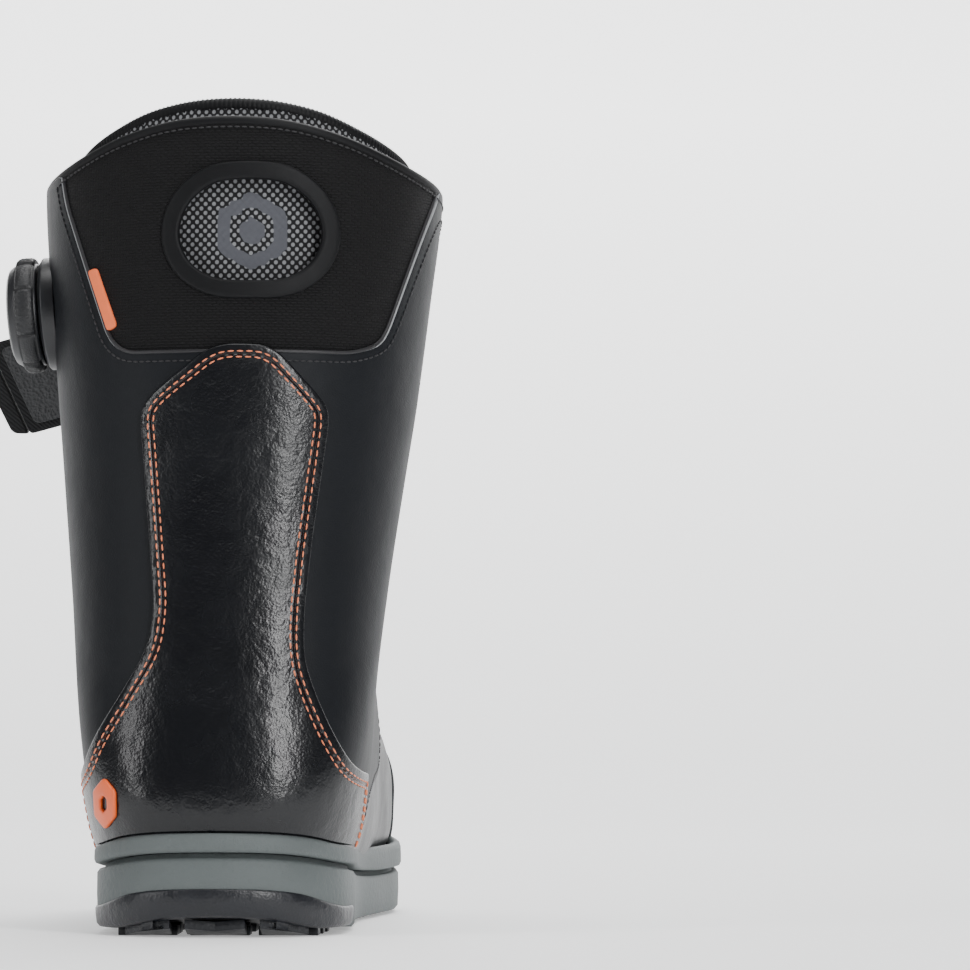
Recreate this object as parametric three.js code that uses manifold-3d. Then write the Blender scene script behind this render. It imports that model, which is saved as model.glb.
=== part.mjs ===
// A left snowboard boot: a stiff outer boot with a removable liner, closed by a cable dial on the
// lateral cuff and a power strap across the tongue.
// Millimetres. +Z up, +Y to the toe, +X to the medial side. The origin is on the floor under the arch.

import * as THREE from "three";
import { mergeVertices } from "three/addons/utils/BufferGeometryUtils.js";
import Module from "manifold-3d";

const wasm = await Module();
wasm.setup();

// ---------------------------------------------------------------- driving dimensions

const bootLength = 298; // heel to toe, over the midsole
const bootWidth = 112; // over the ball of the foot
const bootHeight = 302; // floor to the top of the liner at the back

const gap = 0.3; // between pieces that rest on each other
const lastFloor = 12; // underside of the outer boot, over the sole
const liningWall = 2;
const panelThickness = 1.5; // the sewn outer panels
const leatherThickness = 1.5; // the overlays on those panels
const meshThickness = 1; // the knitted panel at the back of the collar
const stiffenerThickness = 1.4; // heel counter and toe puff
const boardThickness = 2.4; // lasting board
const linerRoom = 7.7; // outer boot's surface to the liner's surface
const linerFoam = 9;
const footbedThickness = 4;
const tongueThickness = 5;
const tongueClearance = 1.2; // each side of the throat
const eyestayWidth = 15;

const treadDepth = 3.2;
const grooveHeight = 1.8; // between the two bands of the midsole
const grooveDepth = 2.5;
const bandStep = 1; // the upper band stands proud of the lower one
const treadSpacing = 5;
const padSideInset = 8; // heel pad to the side of the midsole
const foreInset = 5; // forefoot outsole to the side of the midsole
const foreThickness = 3;
const midsoleLift = 1.4; // the foam stops short of the ground
const shank = { width: 24, length: 110, thickness: 1.6 };

const knobRadius = 21.5;
const knobHeight = 11.6;
const gripThickness = 2;
const dialBaseRadius = 21;
const dialCupRadius = 15.5;
const dialWall = 1.9;
const spoolHeight = 3.2;
const spoolWaist = 8.5;
const axleRadius = 3.4;
const screwRadius = 1.6;
const runningClearance = 0.3;
const knobPull = 3;
const laceDiameter = 1.4;
const laceClearance = 0.35; // round the lace in its guides
const laceTurnRadius = 4;
const guideFloor = 0.9; // under the lace
const guideHeight = 4;
const guideWidth = 13;
const guideLength = 15;

const strapWidth = 38;
const strapThickness = 2.2;
const strapFlapLength = 68; // past the bend
const hookThickness = 1;
const pullLoop = { width: 16, reach: 15, thickness: 1.6, depth: 9 };
const bindingRadius = 1.5; // rolled tape on the collar
const linerBindingRadius = 2.4;
const windowBindingWidth = 4.4;
const windowBindingHeight = 1.6;

// ---------------------------------------------------------------- the last

// Sizes in the tables below are those of the boot at its nominal length, width and height, and the
// three grades carry them to the sizes above.
const nominal = { length: 298, width: 112, height: 302 };
const gradeX = bootWidth / nominal.width;
const gradeY = bootLength / nominal.length;
const gradeZ = bootHeight / nominal.height;

// Each station is a slice through the boot, from the toe round the ankle to the collar:
// front y, front z, back y, back z, half width, centre x, roundness of the front, of the back.
const stations = [
  [143, 39, 143, 28, 8, -1, 2, 2],
  [139, 51, 140, 19, 24, -1.5, 2.1, 2.4],
  [129, 63, 132, 15, 36.5, -1.5, 2.2, 2.8],
  [112, 73.5, 117, 12.8, 45.5, -1.5, 2.3, 3.2],
  [88, 82, 94, 12, 50.5, -1.5, 2.4, 3.4],
  [61, 91, 63, 12, 51, -1.5, 2.5, 3.6],
  [38, 104, 27, 12, 48.6, -1, 2.5, 3.8],
  [18, 121, -12, 12, 48.6, 0, 2.5, 4],
  [6, 140, -60, 12, 49, 0, 2.5, 3.6],
  [0, 158, -114, 12, 50.6, 0, 2.4, 3.2],
  [-2, 173, -144, 38, 53.2, 0, 2.4, 2.7],
  [-3, 187, -140, 84, 57, 0.4, 2.3, 2.3],
  [-2, 203, -135.5, 124, 60.7, 1.1, 2.2, 2.15],
  [-1, 222, -132.5, 165, 64.5, 2.1, 2.2, 2.1],
  [1, 247, -131, 215, 68.5, 2.9, 2.2, 2.1],
  [4, 276, -130, 262, 72, 3.8, 2.2, 2.1],
  [8, 312, -129, 314, 72, 4, 2.2, 2.1],
];

const curveOf = (pick, type) =>
  new THREE.CatmullRomCurve3(stations.map((s) => new THREE.Vector3(...pick(s))), false, type);
const frontLine = curveOf((s) => [0, s[0], s[1]], "centripetal");
const backLine = curveOf((s) => [0, s[2], s[3]], "centripetal");
const girthLine = curveOf((s) => [s[4], s[5], 0], "catmullrom");
const roundLine = curveOf((s) => [s[6], s[7], 0], "catmullrom");

const power = (value, exponent) => Math.sign(value) * Math.abs(value) ** exponent;

// A point of the last, drawn in by `inset` within its slice. v is 0 at the front and pi at the back,
// and the medial side lies between them.
function lastPoint(u, v, inset = 0) {
  const front = frontLine.getPoint(u);
  const back = backLine.getPoint(u);
  back.z = Math.max(back.z, lastFloor);
  const girth = girthLine.getPoint(u);
  const round = roundLine.getPoint(u);
  const roundness = Math.cos(v) > 0 ? round.x : round.y;
  const along = power(Math.cos(v), 2 / roundness);
  const across = power(Math.sin(v), 2 / roundness);
  const middle = front.clone().add(back).multiplyScalar(0.5);
  const half = front.clone().sub(back).multiplyScalar(0.5);
  const shrink = Math.max(0.15, 1 - inset / half.length());
  const width = Math.max(0.15 * girth.x, girth.x - inset);
  return new THREE.Vector3(
    (girth.y + across * width) * gradeX,
    (middle.y + along * half.y * shrink) * gradeY,
    (middle.z + along * half.z * shrink) * gradeZ,
  );
}

function lastNormal(u, v) {
  const step = 0.004;
  const u0 = Math.max(0, u - step);
  const u1 = Math.min(1, u + step);
  const alongU = lastPoint(u1, v).sub(lastPoint(u0, v));
  const alongV = lastPoint(u, v + 0.03).sub(lastPoint(u, v - 0.03));
  return alongU.cross(alongV).normalize();
}

// A point that stands off the last by `off`.
const onLast = (u, v, off) => lastPoint(u, v).addScaledVector(lastNormal(u, v), off);

// ---------------------------------------------------------------- solids

function solid(geometry) {
  const bare = geometry.index ? geometry.toNonIndexed() : geometry.clone();
  const merged = mergeVertices(
    new THREE.BufferGeometry().setAttribute("position", bare.getAttribute("position")),
    1e-3,
  );
  return new wasm.Manifold(
    new wasm.Mesh({
      numProp: 3,
      vertProperties: merged.attributes.position.array,
      triVerts: new Uint32Array(merged.index.array),
    }),
  );
}

function geometryOf(made) {
  const mesh = made.getMesh();
  return new THREE.BufferGeometry()
    .setAttribute("position", new THREE.BufferAttribute(new Float32Array(mesh.vertProperties), 3))
    .setIndex(new THREE.BufferAttribute(new Uint32Array(mesh.triVerts), 1));
}

const union = (solids) => solids.reduce((a, b) => a.add(b));

// The larger piece of a solid, without the slivers that a cut leaves beside it and on it.
const cutTolerance = 0.06;
function largest(made) {
  return made.simplify(cutTolerance).decompose().reduce((a, b) => (a.volume() > b.volume() ? a : b));
}

// Closes a stack of rings, each a list of points, into one body.
function ringBody(rings) {
  const count = rings[0].length;
  const positions = [];
  const put = (...points) => points.forEach((p) => positions.push(p.x, p.y, p.z));
  const centre = (ring) => ring.reduce((a, b) => a.add(b), new THREE.Vector3()).divideScalar(count);
  rings.slice(1).forEach((ring, i) => {
    const before = rings[i];
    ring.forEach((p, j) => {
      const k = (j + 1) % count;
      put(before[j], before[k], ring[k]);
      put(before[j], ring[k], p);
    });
  });
  const first = centre(rings[0]);
  const last = centre(rings.at(-1));
  rings[0].forEach((p, j) => put(first, rings[0][(j + 1) % count], p));
  rings.at(-1).forEach((p, j) => put(last, p, rings.at(-1)[(j + 1) % count]));
  const geometry = new THREE.BufferGeometry().setAttribute(
    "position",
    new THREE.Float32BufferAttribute(positions, 3),
  );
  const made = solid(geometry);
  return made.volume() > 0 ? made : solid(turned(geometry));
}

// The same faces, wound the other way.
function turned(geometry) {
  const from = geometry.getAttribute("position");
  const flipped = new Float32Array(from.count * 3);
  for (let i = 0; i < from.count; i += 3)
    [0, 2, 1].forEach((k, j) => {
      flipped[(i + j) * 3] = from.getX(i + k);
      flipped[(i + j) * 3 + 1] = from.getY(i + k);
      flipped[(i + j) * 3 + 2] = from.getZ(i + k);
    });
  return new THREE.BufferGeometry().setAttribute("position", new THREE.BufferAttribute(flipped, 3));
}

const slices = 16;
const spokes = 22;

// The last grown by `off` as one body.
function lastGrown(off) {
  const rings = [];
  for (let i = 0; i <= slices; i++) {
    const u = i / slices;
    rings.push(
      Array.from({ length: spokes }, (_, j) => {
        const v = (2 * Math.PI * j) / spokes;
        if (i > 0) return onLast(u, v, off);
        return lastPoint(u, v).add(new THREE.Vector3(0, off, 0));
      }),
    );
  }
  return ringBody(rings);
}

// The last drawn in by `inset`, as a coarser body for the soft liner.
function lastShrunk(inset) {
  const rings = [];
  const from = 0.06;
  const count = 14;
  for (let i = 0; i <= count; i++) {
    const u = from + (i / count) * (1 - from);
    rings.push(
      Array.from({ length: 20 }, (_, j) => {
        const point = lastPoint(u, (2 * Math.PI * j) / 20, inset);
        return i > 0 ? point : point.add(new THREE.Vector3(0, -inset * 0.6, 0));
      }),
    );
  }
  return ringBody(rings);
}

const grownCache = new Map();
function grown(off) {
  if (!grownCache.has(off)) grownCache.set(off, lastGrown(off));
  return grownCache.get(off);
}

// A skin on the last between two heights above it.
const skin = (low, high) => grown(high).subtract(grown(low));

// A flat outline, `across` by `up`, pushed through space along their cross product.
function prism(shape, origin, across, up, depth, bevel = {}) {
  const geometry = new THREE.ExtrudeGeometry(shape, {
    depth,
    bevelEnabled: false,
    curveSegments: 6,
    ...bevel,
  });
  const through = new THREE.Vector3().crossVectors(across, up);
  const basis = new THREE.Matrix4().makeBasis(across, up, through).setPosition(origin);
  return solid(geometry.applyMatrix4(basis));
}

const axisX = new THREE.Vector3(1, 0, 0);
const axisY = new THREE.Vector3(0, 1, 0);
const axisZ = new THREE.Vector3(0, 0, 1);
const reach = 400; // more than the boot in every direction

// Outline in y and z, through the whole width or one side of it.
const sideCut = (shape, fromX = -reach / 2, depth = reach) =>
  prism(shape, new THREE.Vector3(fromX, 0, 0), axisY, axisZ, depth);
// Outline in x and z, behind the ankle.
const backCut = (shape, fromY = -50 * gradeY) =>
  prism(shape, new THREE.Vector3(0, fromY, 0), axisX, axisZ, reach / 2);
// Outline in x and y, from one height to another.
const planCut = (shape, low, high) =>
  prism(shape, new THREE.Vector3(0, 0, low), axisX, axisY, high - low);

const graded2 = (points, gx, gy) => points.map(([a, b]) => new THREE.Vector2(a * gx, b * gy));

// A smooth closed outline through a few points.
function smoothOutline(points, gx, gy, count) {
  const through = points.map(([a, b]) => new THREE.Vector3(a * gx, b * gy, 0));
  const curve = new THREE.CatmullRomCurve3(through, true, "centripetal");
  return new THREE.Shape(curve.getPoints(count).slice(0, -1).map((p) => new THREE.Vector2(p.x, p.y)));
}

// A smooth open line through a few points.
function smoothLine(points, gx, gy, count) {
  const through = points.map(([a, b]) => new THREE.Vector3(a * gx, b * gy, 0));
  return new THREE.CatmullRomCurve3(through, false, "centripetal")
    .getPoints(count)
    .map((p) => new THREE.Vector2(p.x, p.y));
}

// What lies under or over a line drawn in the side view.
const underLine = (line, shift = 0) =>
  sideCut(
    new THREE.Shape([
      new THREE.Vector2(line[0].x, -reach),
      new THREE.Vector2(line.at(-1).x, -reach),
      ...line.map((p) => new THREE.Vector2(p.x, p.y + shift)).reverse(),
    ]),
  );
const overLine = (line, shift = 0) =>
  sideCut(
    new THREE.Shape([
      ...line.map((p) => new THREE.Vector2(p.x, p.y + shift)),
      new THREE.Vector2(line.at(-1).x, reach),
      new THREE.Vector2(line[0].x, reach),
    ]),
  );

function box(low, high) {
  const size = high.map((h, i) => h - low[i]);
  const geometry = new THREE.BoxGeometry(...size);
  return solid(geometry.translate(...low.map((l, i) => l + size[i] / 2)));
}

// ---------------------------------------------------------------- assembly

const boot = new THREE.Group();

const finishes = {
  rubberBlack: new THREE.MeshStandardMaterial({ color: 0x1d1f24, roughness: 0.75 }),
  midsoleGrey: new THREE.MeshStandardMaterial({ color: 0x6b7576, roughness: 0.7 }),
  matteBlack: new THREE.MeshStandardMaterial({ color: 0x17181b, roughness: 0.65 }),
  leatherBlack: new THREE.MeshStandardMaterial({ color: 0x14161b, roughness: 0.28 }),
  meshBlack: new THREE.MeshStandardMaterial({ color: 0x18161a, roughness: 0.95 }),
  liningBlack: new THREE.MeshStandardMaterial({ color: 0x1b1b1d, roughness: 0.9 }),
  foamGrey: new THREE.MeshStandardMaterial({ color: 0x2b2a2d, roughness: 0.95 }),
  webbingBlack: new THREE.MeshStandardMaterial({ color: 0x0d0d0f, roughness: 0.9 }),
  plasticBlack: new THREE.MeshStandardMaterial({ color: 0x1a1c20, roughness: 0.4 }),
  orange: new THREE.MeshStandardMaterial({ color: 0xee5526, roughness: 0.55 }),
  steel: new THREE.MeshStandardMaterial({ color: 0x9aa0a6, roughness: 0.3, metalness: 1 }),
  boardTan: new THREE.MeshStandardMaterial({ color: 0x8d7f66, roughness: 0.9 }),
};

function piece(name, made, material, into = boot) {
  const geometry = made instanceof THREE.BufferGeometry ? made : geometryOf(made);
  const mesh = new THREE.Mesh(geometry, material);
  mesh.name = name;
  into.add(mesh);
  return mesh;
}

// ---------------------------------------------------------------- lines of the boot

// Side view, y and z: the top of the outer boot, kicked up at the back.
const collarLine = smoothLine(
  [
    [-170, 296], [-150, 296], [-133, 294.5], [-122, 288], [-110, 281.5], [-96, 276.5],
    [-75, 272.5], [-45, 270], [0, 268], [170, 268],
  ],
  gradeY, gradeZ, 28,
);
// The top of the liner.
const linerLine = smoothLine(
  [[-170, 297.5], [-128, 297.5], [-119, 295.3], [-111, 290], [-99, 284.5], [-80, 280.5], [-50, 278], [170, 278]],
  gradeY, gradeZ, 20,
);
const linerTop = (y) => heightOn(linerLine, y);

// Top of the upper band, the groove under it, and the tread.
const bandTopLine = smoothLine(
  [[-160, 37.5], [-149, 37.2], [-138, 35.5], [-122, 32.6], [-100, 31], [-40, 28.5], [20, 27.5],
    [90, 28.5], [120, 31], [140, 36], [160, 40]],
  gradeY, gradeZ, 26,
);
const grooveLine = smoothLine(
  [[-160, 29.8], [-149, 29.4], [-138, 27.8], [-122, 25.4], [-100, 23.8], [-40, 20], [20, 17.5],
    [90, 18], [120, 20], [140, 24], [160, 27]],
  gradeY, gradeZ, 26,
);
const treadLine = smoothLine(
  [[-165, 9.5], [-149, 5.4], [-138, 1.6], [-128, 0], [-118, 0], [0, 0], [84, 0], [94, 0.2],
    [112, 2], [130, 5], [149, 9.6], [165, 14]],
  gradeY, 1, 40,
);
treadLine.forEach((p) => (p.y = Math.max(0, p.y)));
const padTopLine = smoothLine(
  [[-165, 18.4], [-149, 17.6], [-140, 15.6], [-130, 12.4], [-120, 10.6], [-100, 10], [-60, 10]],
  gradeY, 1, 18,
);

// The height of a line at one y.
function heightOn(line, y) {
  const at = line.findIndex((p) => p.x >= y);
  const after = line[Math.max(1, at < 0 ? line.length - 1 : at)];
  const before = line[line.indexOf(after) - 1];
  return before.y + ((after.y - before.y) * (y - before.x)) / (after.x - before.x);
}

// ---------------------------------------------------------------- sole

const solePoints = [
  [0, -149], [27, -142], [42, -124], [46.6, -100], [45, -52], [45, -12], [50.5, 35], [54, 70],
  [51.5, 100], [42, 127], [24, 143.5], [0, 149], [-25, 143.5], [-45, 127], [-55.5, 100], [-58, 66],
  [-55, 30], [-48, -12], [-46, -52], [-46.6, -100], [-42, -124], [-27, -142],
];
const soleOutline = smoothOutline(solePoints, gradeX, gradeY, 54);

// The outline moved in or out, by moving each point along its own normal.
function offsetOutline(shape, distance) {
  const points = shape.getPoints();
  const count = points.length;
  const clockwise = THREE.ShapeUtils.isClockWise(points) ? 1 : -1;
  return new THREE.Shape(
    points.map((p, i) => {
      const before = points[(i + count - 1) % count];
      const after = points[(i + 1) % count];
      const normal = new THREE.Vector2(after.y - before.y, before.x - after.x)
        .normalize()
        .multiplyScalar(-distance * clockwise);
      return p.clone().add(normal);
    }),
  );
}

const seat = grown(gap);

// Plans of the two outsoles. The heel pad reaches the back of the midsole and is inset at its sides.
const padRear = -122 * gradeY;
const padFront = -66 * gradeY;
const foreRear = -14 * gradeY;
const slabBetween = (y0, y1) => box([-reach, y0, -5], [reach, y1, 60 * gradeZ]);
const insetPlan = (inset) => planCut(offsetOutline(soleOutline, -inset), -5, 60 * gradeZ);
const padPlan = (grow) =>
  insetPlan(padSideInset - grow)
    .intersect(slabBetween(-reach, padFront + grow))
    .add(planCut(offsetOutline(soleOutline, grow), -5, 60 * gradeZ).intersect(slabBetween(-reach, padRear + grow)));
const forePlan = (grow) => insetPlan(foreInset - grow).intersect(slabBetween(foreRear - grow, reach));

// Tread blocks: rows of chevrons.
function treadBlock(x, y, width, length) {
  const w = width / 2;
  const l = length / 2;
  const sweep = length * 0.3;
  const corners = [[-w, -l - sweep], [0, -l], [w, -l - sweep], [w, l - sweep], [0, l], [-w, l - sweep]];
  return planCut(new THREE.Shape(corners.map(([a, b]) => new THREE.Vector2(x + a, y + b + sweep / 2))), -5, 30);
}

function treadRows(plan, firstY, lastY, rows, columnPitch) {
  const pitch = (lastY - firstY) / (rows - 1);
  const blocks = [];
  for (let row = 0; row < rows; row++)
    for (const column of [-1, 0, 1])
      blocks.push(
        treadBlock(column * columnPitch, firstY + row * pitch, columnPitch - treadSpacing, pitch - treadSpacing),
      );
  return union(blocks).intersect(plan).intersect(overLine(treadLine)).intersect(underLine(treadLine, treadDepth + 0.4));
}

const padBody = padPlan(0).intersect(underLine(padTopLine)).intersect(overLine(treadLine, treadDepth));
const heelTread = treadRows(padPlan(0), -134 * gradeY, -77 * gradeY, 4, 27 * gradeX);
piece("heel_outsole", largest(padBody.add(heelTread)), finishes.rubberBlack);

const foreTop = treadDepth + foreThickness;
const forePlate = forePlan(0)
  .intersect(overLine(treadLine, treadDepth))
  .intersect(underLine(treadLine, foreTop));
const foreTread = treadRows(forePlan(-1.5), -2 * gradeY, 130 * gradeY, 7, 31 * gradeX);
piece("forefoot_outsole", largest(forePlate.add(foreTread)), finishes.rubberBlack);

// Midsole: the lower grey band, with pockets for both outsoles and the shank.
const neck = insetPlan(grooveDepth).intersect(underLine(grooveLine, grooveHeight / 2 - gap));
const seatFloor = lastFloor * gradeZ - gap;
const shankAt = -38 * gradeY;
const shankPocket = (grow) =>
  box(
    [-shank.width / 2 - grow, shankAt - shank.length / 2 - grow, seatFloor - shank.thickness - 2 * grow],
    [shank.width / 2 + grow, shankAt + shank.length / 2 + grow, seatFloor - gap + grow * 4],
  );
const midsole = planCut(soleOutline, -5, 60 * gradeZ)
  .intersect(underLine(grooveLine, -grooveHeight / 2))
  .add(neck)
  .intersect(overLine(treadLine, midsoleLift))
  .subtract(seat)
  .subtract(padPlan(gap).intersect(underLine(padTopLine, gap)))
  .subtract(forePlan(gap).intersect(underLine(treadLine, foreTop + gap)))
  .subtract(shankPocket(gap));
piece("midsole", largest(midsole), finishes.midsoleGrey);
piece("shank", shankPocket(0), finishes.boardTan);

// Rand: the upper grey band, round the foot of the upper.
const rand = planCut(offsetOutline(soleOutline, bandStep), -5, 60 * gradeZ)
  .intersect(underLine(bandTopLine))
  .intersect(overLine(grooveLine, grooveHeight / 2))
  .subtract(seat);
piece("rand", largest(rand), finishes.midsoleGrey);

// ---------------------------------------------------------------- upper

// The throat is cut along a line that leans back from the instep.
const throatLean = THREE.MathUtils.degToRad(20);
const throatOut = new THREE.Vector3(0, Math.cos(throatLean), Math.sin(throatLean));
const throatUp = new THREE.Vector3(0, -Math.sin(throatLean), Math.cos(throatLean));
const throatRoot = new THREE.Vector3(0, -30 * gradeY, 130 * gradeZ);
const throatLow = -62 * gradeZ;
const throatHigh = 190 * gradeZ;
const throatHalf = { low: 19 * gradeX, high: 30 * gradeX };

// The throat's outline, wider by `grow` all round.
function throatShape(grow) {
  const shape = new THREE.Shape();
  const low = throatHalf.low + grow;
  const high = throatHalf.high + grow;
  shape.moveTo(high, throatHigh);
  shape.lineTo(-high, throatHigh);
  shape.lineTo(-low, throatLow + low);
  shape.absarc(0, throatLow + low - grow, low, Math.PI, 2 * Math.PI);
  shape.lineTo(high, throatHigh);
  return shape;
}
function throatCut(grow, out = reach / 2) {
  const start = throatRoot.clone().addScaledVector(throatOut, out);
  return prism(throatShape(grow), start, axisX, throatUp, out);
}
const throat = throatCut(0);

// The window at the back of the cuff that shows the liner.
const windowCentre = [11.2, 253.6];
const windowPoints = [
  [0, 19.4], [14, 17.4], [23.6, 9.4], [26.8, -2], [22.5, -12.4], [13, -18.4], [0, -19.4],
  [-13, -18.4], [-22.5, -12.4], [-26.8, -2], [-23.6, 9.4], [-14, 17.4],
];
const windowShape = (grow) =>
  offsetOutline(
    smoothOutline(windowPoints.map(([a, b]) => [a + windowCentre[0], b + windowCentre[1]]), gradeX, gradeZ, 28),
    grow,
  );
const windowCut = (grow) => backCut(windowShape(grow));

const collarCut = underLine(collarLine);
const bandCut = overLine(bandTopLine, gap);

// Lining: the full inner layer of the outer boot, which the panels are sewn to.
const lining = skin(-liningWall, 0).intersect(collarCut).subtract(throat).subtract(windowCut(0));
piece("lining_shell", largest(lining), finishes.liningBlack);

// Panel heights above the last.
const panelLow = gap;
const panelHigh = panelLow + panelThickness;
const overLow = panelHigh + gap;
const overHigh = overLow + leatherThickness;
const panelSkin = skin(panelLow, panelHigh).intersect(collarCut).intersect(bandCut).subtract(throat);
const overSkin = skin(overLow, overHigh).intersect(collarCut).intersect(bandCut).subtract(throat);

// Knitted panel at the back of the collar, with the window in it.
const backCentre = 7.5; // the cuff's back stands towards the medial side of the heel's
const meshPoints = [
  [-48, 214.5], [-42, 209.5], [40, 209.5], [49, 213], [52, 219], [68, 268], [75, 320], [-75, 320], [-66, 266],
];
const meshShape = (grow) =>
  offsetOutline(new THREE.Shape(graded2(meshPoints.map(([a, b]) => [a + backCentre, b]), gradeX, gradeZ)), grow);
const meshCut = backCut(meshShape(0));
const meshPanel = skin(panelLow, panelLow + meshThickness)
  .intersect(collarCut)
  .intersect(meshCut)
  .subtract(windowCut(0));
piece("collar_mesh_panel", largest(meshPanel), finishes.meshBlack);

// Quarters: the two matte sides of the boot. The vamp in front of them is cut on a swept seam.
const seamLine = smoothLine(
  [[-72, 5], [-72, 34], [-66, 45], [-40, 52], [0, 58], [16, 68], [18, 90], [13, 112], [6, 130]],
  gradeY, gradeZ, 22,
);
const vampRegion = (shift) =>
  sideCut(
    new THREE.Shape([
      ...seamLine.map((p) => new THREE.Vector2(p.x + shift, p.y - shift * 0.6)),
      new THREE.Vector2(40 * gradeY, 132 * gradeZ),
      new THREE.Vector2(reach / 2, 132 * gradeZ),
      new THREE.Vector2(reach / 2, 5),
    ]),
  );
const flexNotch = sideCut(
  new THREE.Shape(graded2([[-22, 133], [0, 127], [60, 112], [60, 146], [0, 140]], gradeY, gradeZ)),
);
const quarters = panelSkin.subtract(backCut(meshShape(gap))).subtract(vampRegion(0)).subtract(flexNotch);
const sideOf = (sign) =>
  sign > 0 ? box([gap, -reach, -5], [reach, reach, reach]) : box([-reach, -reach, -5], [0, reach, reach]);
piece("quarter_lateral", largest(quarters.intersect(sideOf(-1))), finishes.matteBlack);
piece("quarter_medial", largest(quarters.intersect(sideOf(1))), finishes.matteBlack);
const vamp = panelSkin.intersect(vampRegion(gap * 1.4)).subtract(flexNotch);
piece("vamp", largest(vamp), finishes.leatherBlack);

// Toe cap over the front of the vamp.
const toeCapLine = graded2([[104, 0], [104, 40], [92, 70], [84, 140], [200, 140], [200, 0]], gradeY, gradeZ);
piece("toe_cap", largest(overSkin.intersect(sideCut(new THREE.Shape(toeCapLine)))), finishes.rubberBlack);

// Backstay: the glossy leather panel from the sole to the mesh.
const backstayPoints = [
  [-62, 20], [62, 20], [62, 52], [49, 58], [41, 72], [34, 88], [30.5, 100], [30.5, 116], [33, 141],
  [39.3, 188], [35, 194], [19, 211.5], [-1, 211.7], [-24, 194], [-28, 188], [-24, 141], [-22, 118],
  [-24, 103], [-33, 88], [-44, 71], [-51, 56], [-62, 50],
];
const backstayShape = new THREE.Shape(graded2(backstayPoints, gradeX, gradeZ));
const backstayRear = sideCut(
  new THREE.Shape(
    graded2([[-180, 0], [-94, 0], [-95, 40], [-104, 62], [-108, 80], [-80, 220], [-180, 220]], gradeY, gradeZ),
  ),
);
const backstay = overSkin.intersect(backCut(backstayShape)).intersect(backstayRear);
piece("backstay", largest(backstay), finishes.leatherBlack);

// Eyestays: reinforcement each side of the throat, parted at the ankle.
const eyestays = overSkin.intersect(throatCut(eyestayWidth)).subtract(flexNotch);
const upperHalf = sideCut(new THREE.Shape(graded2([[-60, 137], [120, 112], [120, 400], [-60, 400]], gradeY, gradeZ)));
for (const [side, sign] of [["lateral", -1], ["medial", 1]]) {
  const one = eyestays.intersect(sideOf(sign)).subtract(sideCut(new THREE.Shape(toeCapLine)));
  piece(`upper_eyestay_${side}`, largest(one.intersect(upperHalf)), finishes.plasticBlack);
  piece(`lower_eyestay_${side}`, largest(one.subtract(upperHalf)), finishes.plasticBlack);
}

// Stiffeners between the lining and the liner.
const innerSkin = skin(-liningWall - gap - stiffenerThickness, -liningWall - gap);
piece(
  "heel_counter",
  largest(
    innerSkin.intersect(
      sideCut(new THREE.Shape(graded2([[-200, 19], [-88, 19], [-96, 60], [-112, 92], [-200, 100]], gradeY, gradeZ))),
    ),
  ),
  finishes.plasticBlack,
);
piece(
  "toe_puff",
  largest(
    innerSkin.intersect(
      sideCut(new THREE.Shape(graded2([[200, 19], [112, 19], [100, 60], [92, 120], [200, 120]], gradeY, gradeZ))),
    ),
  ),
  finishes.plasticBlack,
);

// Lasting board on the floor of the lining.
const boardLow = lastFloor * gradeZ + liningWall + gap;
piece(
  "lasting_board",
  largest(
    grown(-liningWall - gap * 2).intersect(box([-reach, -reach, boardLow], [reach, reach, boardLow + boardThickness])),
  ),
  finishes.boardTan,
);

// Rolled tapes: a tube along an edge of the last.
function edgeTube(points, radius, sides = 4) {
  const section = new THREE.Shape();
  section.absarc(0, 0, radius, 0, 2 * Math.PI);
  return solid(
    new THREE.ExtrudeGeometry(section, {
      steps: points.length - 1,
      extrudePath: new Route(points),
      curveSegments: sides,
      bevelEnabled: false,
    }),
  );
}

// A path that steps from one given point to the next.
class Route extends THREE.Curve {
  constructor(points) {
    super();
    this.points = points;
  }
  getPoint(t, target = new THREE.Vector3()) {
    const along = t * (this.points.length - 1);
    const i = Math.min(Math.floor(along), this.points.length - 2);
    return target.lerpVectors(this.points[i], this.points[i + 1], along - i);
  }
  getPointAt(t, target) {
    return this.getPoint(t, target);
  }
  getTangent(t, target = new THREE.Vector3()) {
    const count = this.points.length - 1;
    const at = Math.round(t * count);
    const before = this.points[Math.max(0, at - 1)];
    const after = this.points[Math.min(count, at + 1)];
    return target.subVectors(after, before).normalize();
  }
  getTangentAt(t, target) {
    return this.getTangent(t, target);
  }
}

// Where the last, drawn in by `inset`, meets a height that depends on y.
function rimPoint(v, heightAt, inset) {
  let low = 0.6;
  let high = 1;
  for (let i = 0; i < 24; i++) {
    const mid = (low + high) / 2;
    const point = lastPoint(mid, v, inset);
    if (point.z < heightAt(point.y)) low = mid;
    else high = mid;
  }
  return lastPoint(low, v, inset);
}

// The parts of the rim between the two sides of the throat, front to front.
function rim(heightAt, inset, halfOpening, count) {
  const points = [];
  for (let i = 0; i <= 200; i++) {
    const point = rimPoint((2 * Math.PI * i) / 200, heightAt, inset);
    if (point.y < -40 * gradeY || Math.abs(point.x - 4 * gradeX) > halfOpening) points.push(point);
  }
  const path = new THREE.CatmullRomCurve3(points, false, "centripetal");
  return path.getSpacedPoints(count);
}

const collarRim = rim((y) => heightOn(collarLine, y), liningWall / 2, throatHalf.high + 8, 32);
collarRim.forEach((p) => (p.z += bindingRadius + gap));
piece("collar_binding", edgeTube(collarRim, bindingRadius), finishes.webbingBlack);

// Window binding: a flat ring round the window, over the mesh.
const bindingLow = panelLow + meshThickness + gap;
const windowRing = skin(bindingLow, bindingLow + windowBindingHeight)
  .intersect(windowCut(windowBindingWidth))
  .subtract(windowCut(0));
piece("window_binding", largest(windowRing), finishes.webbingBlack);

// ---------------------------------------------------------------- trim

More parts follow.
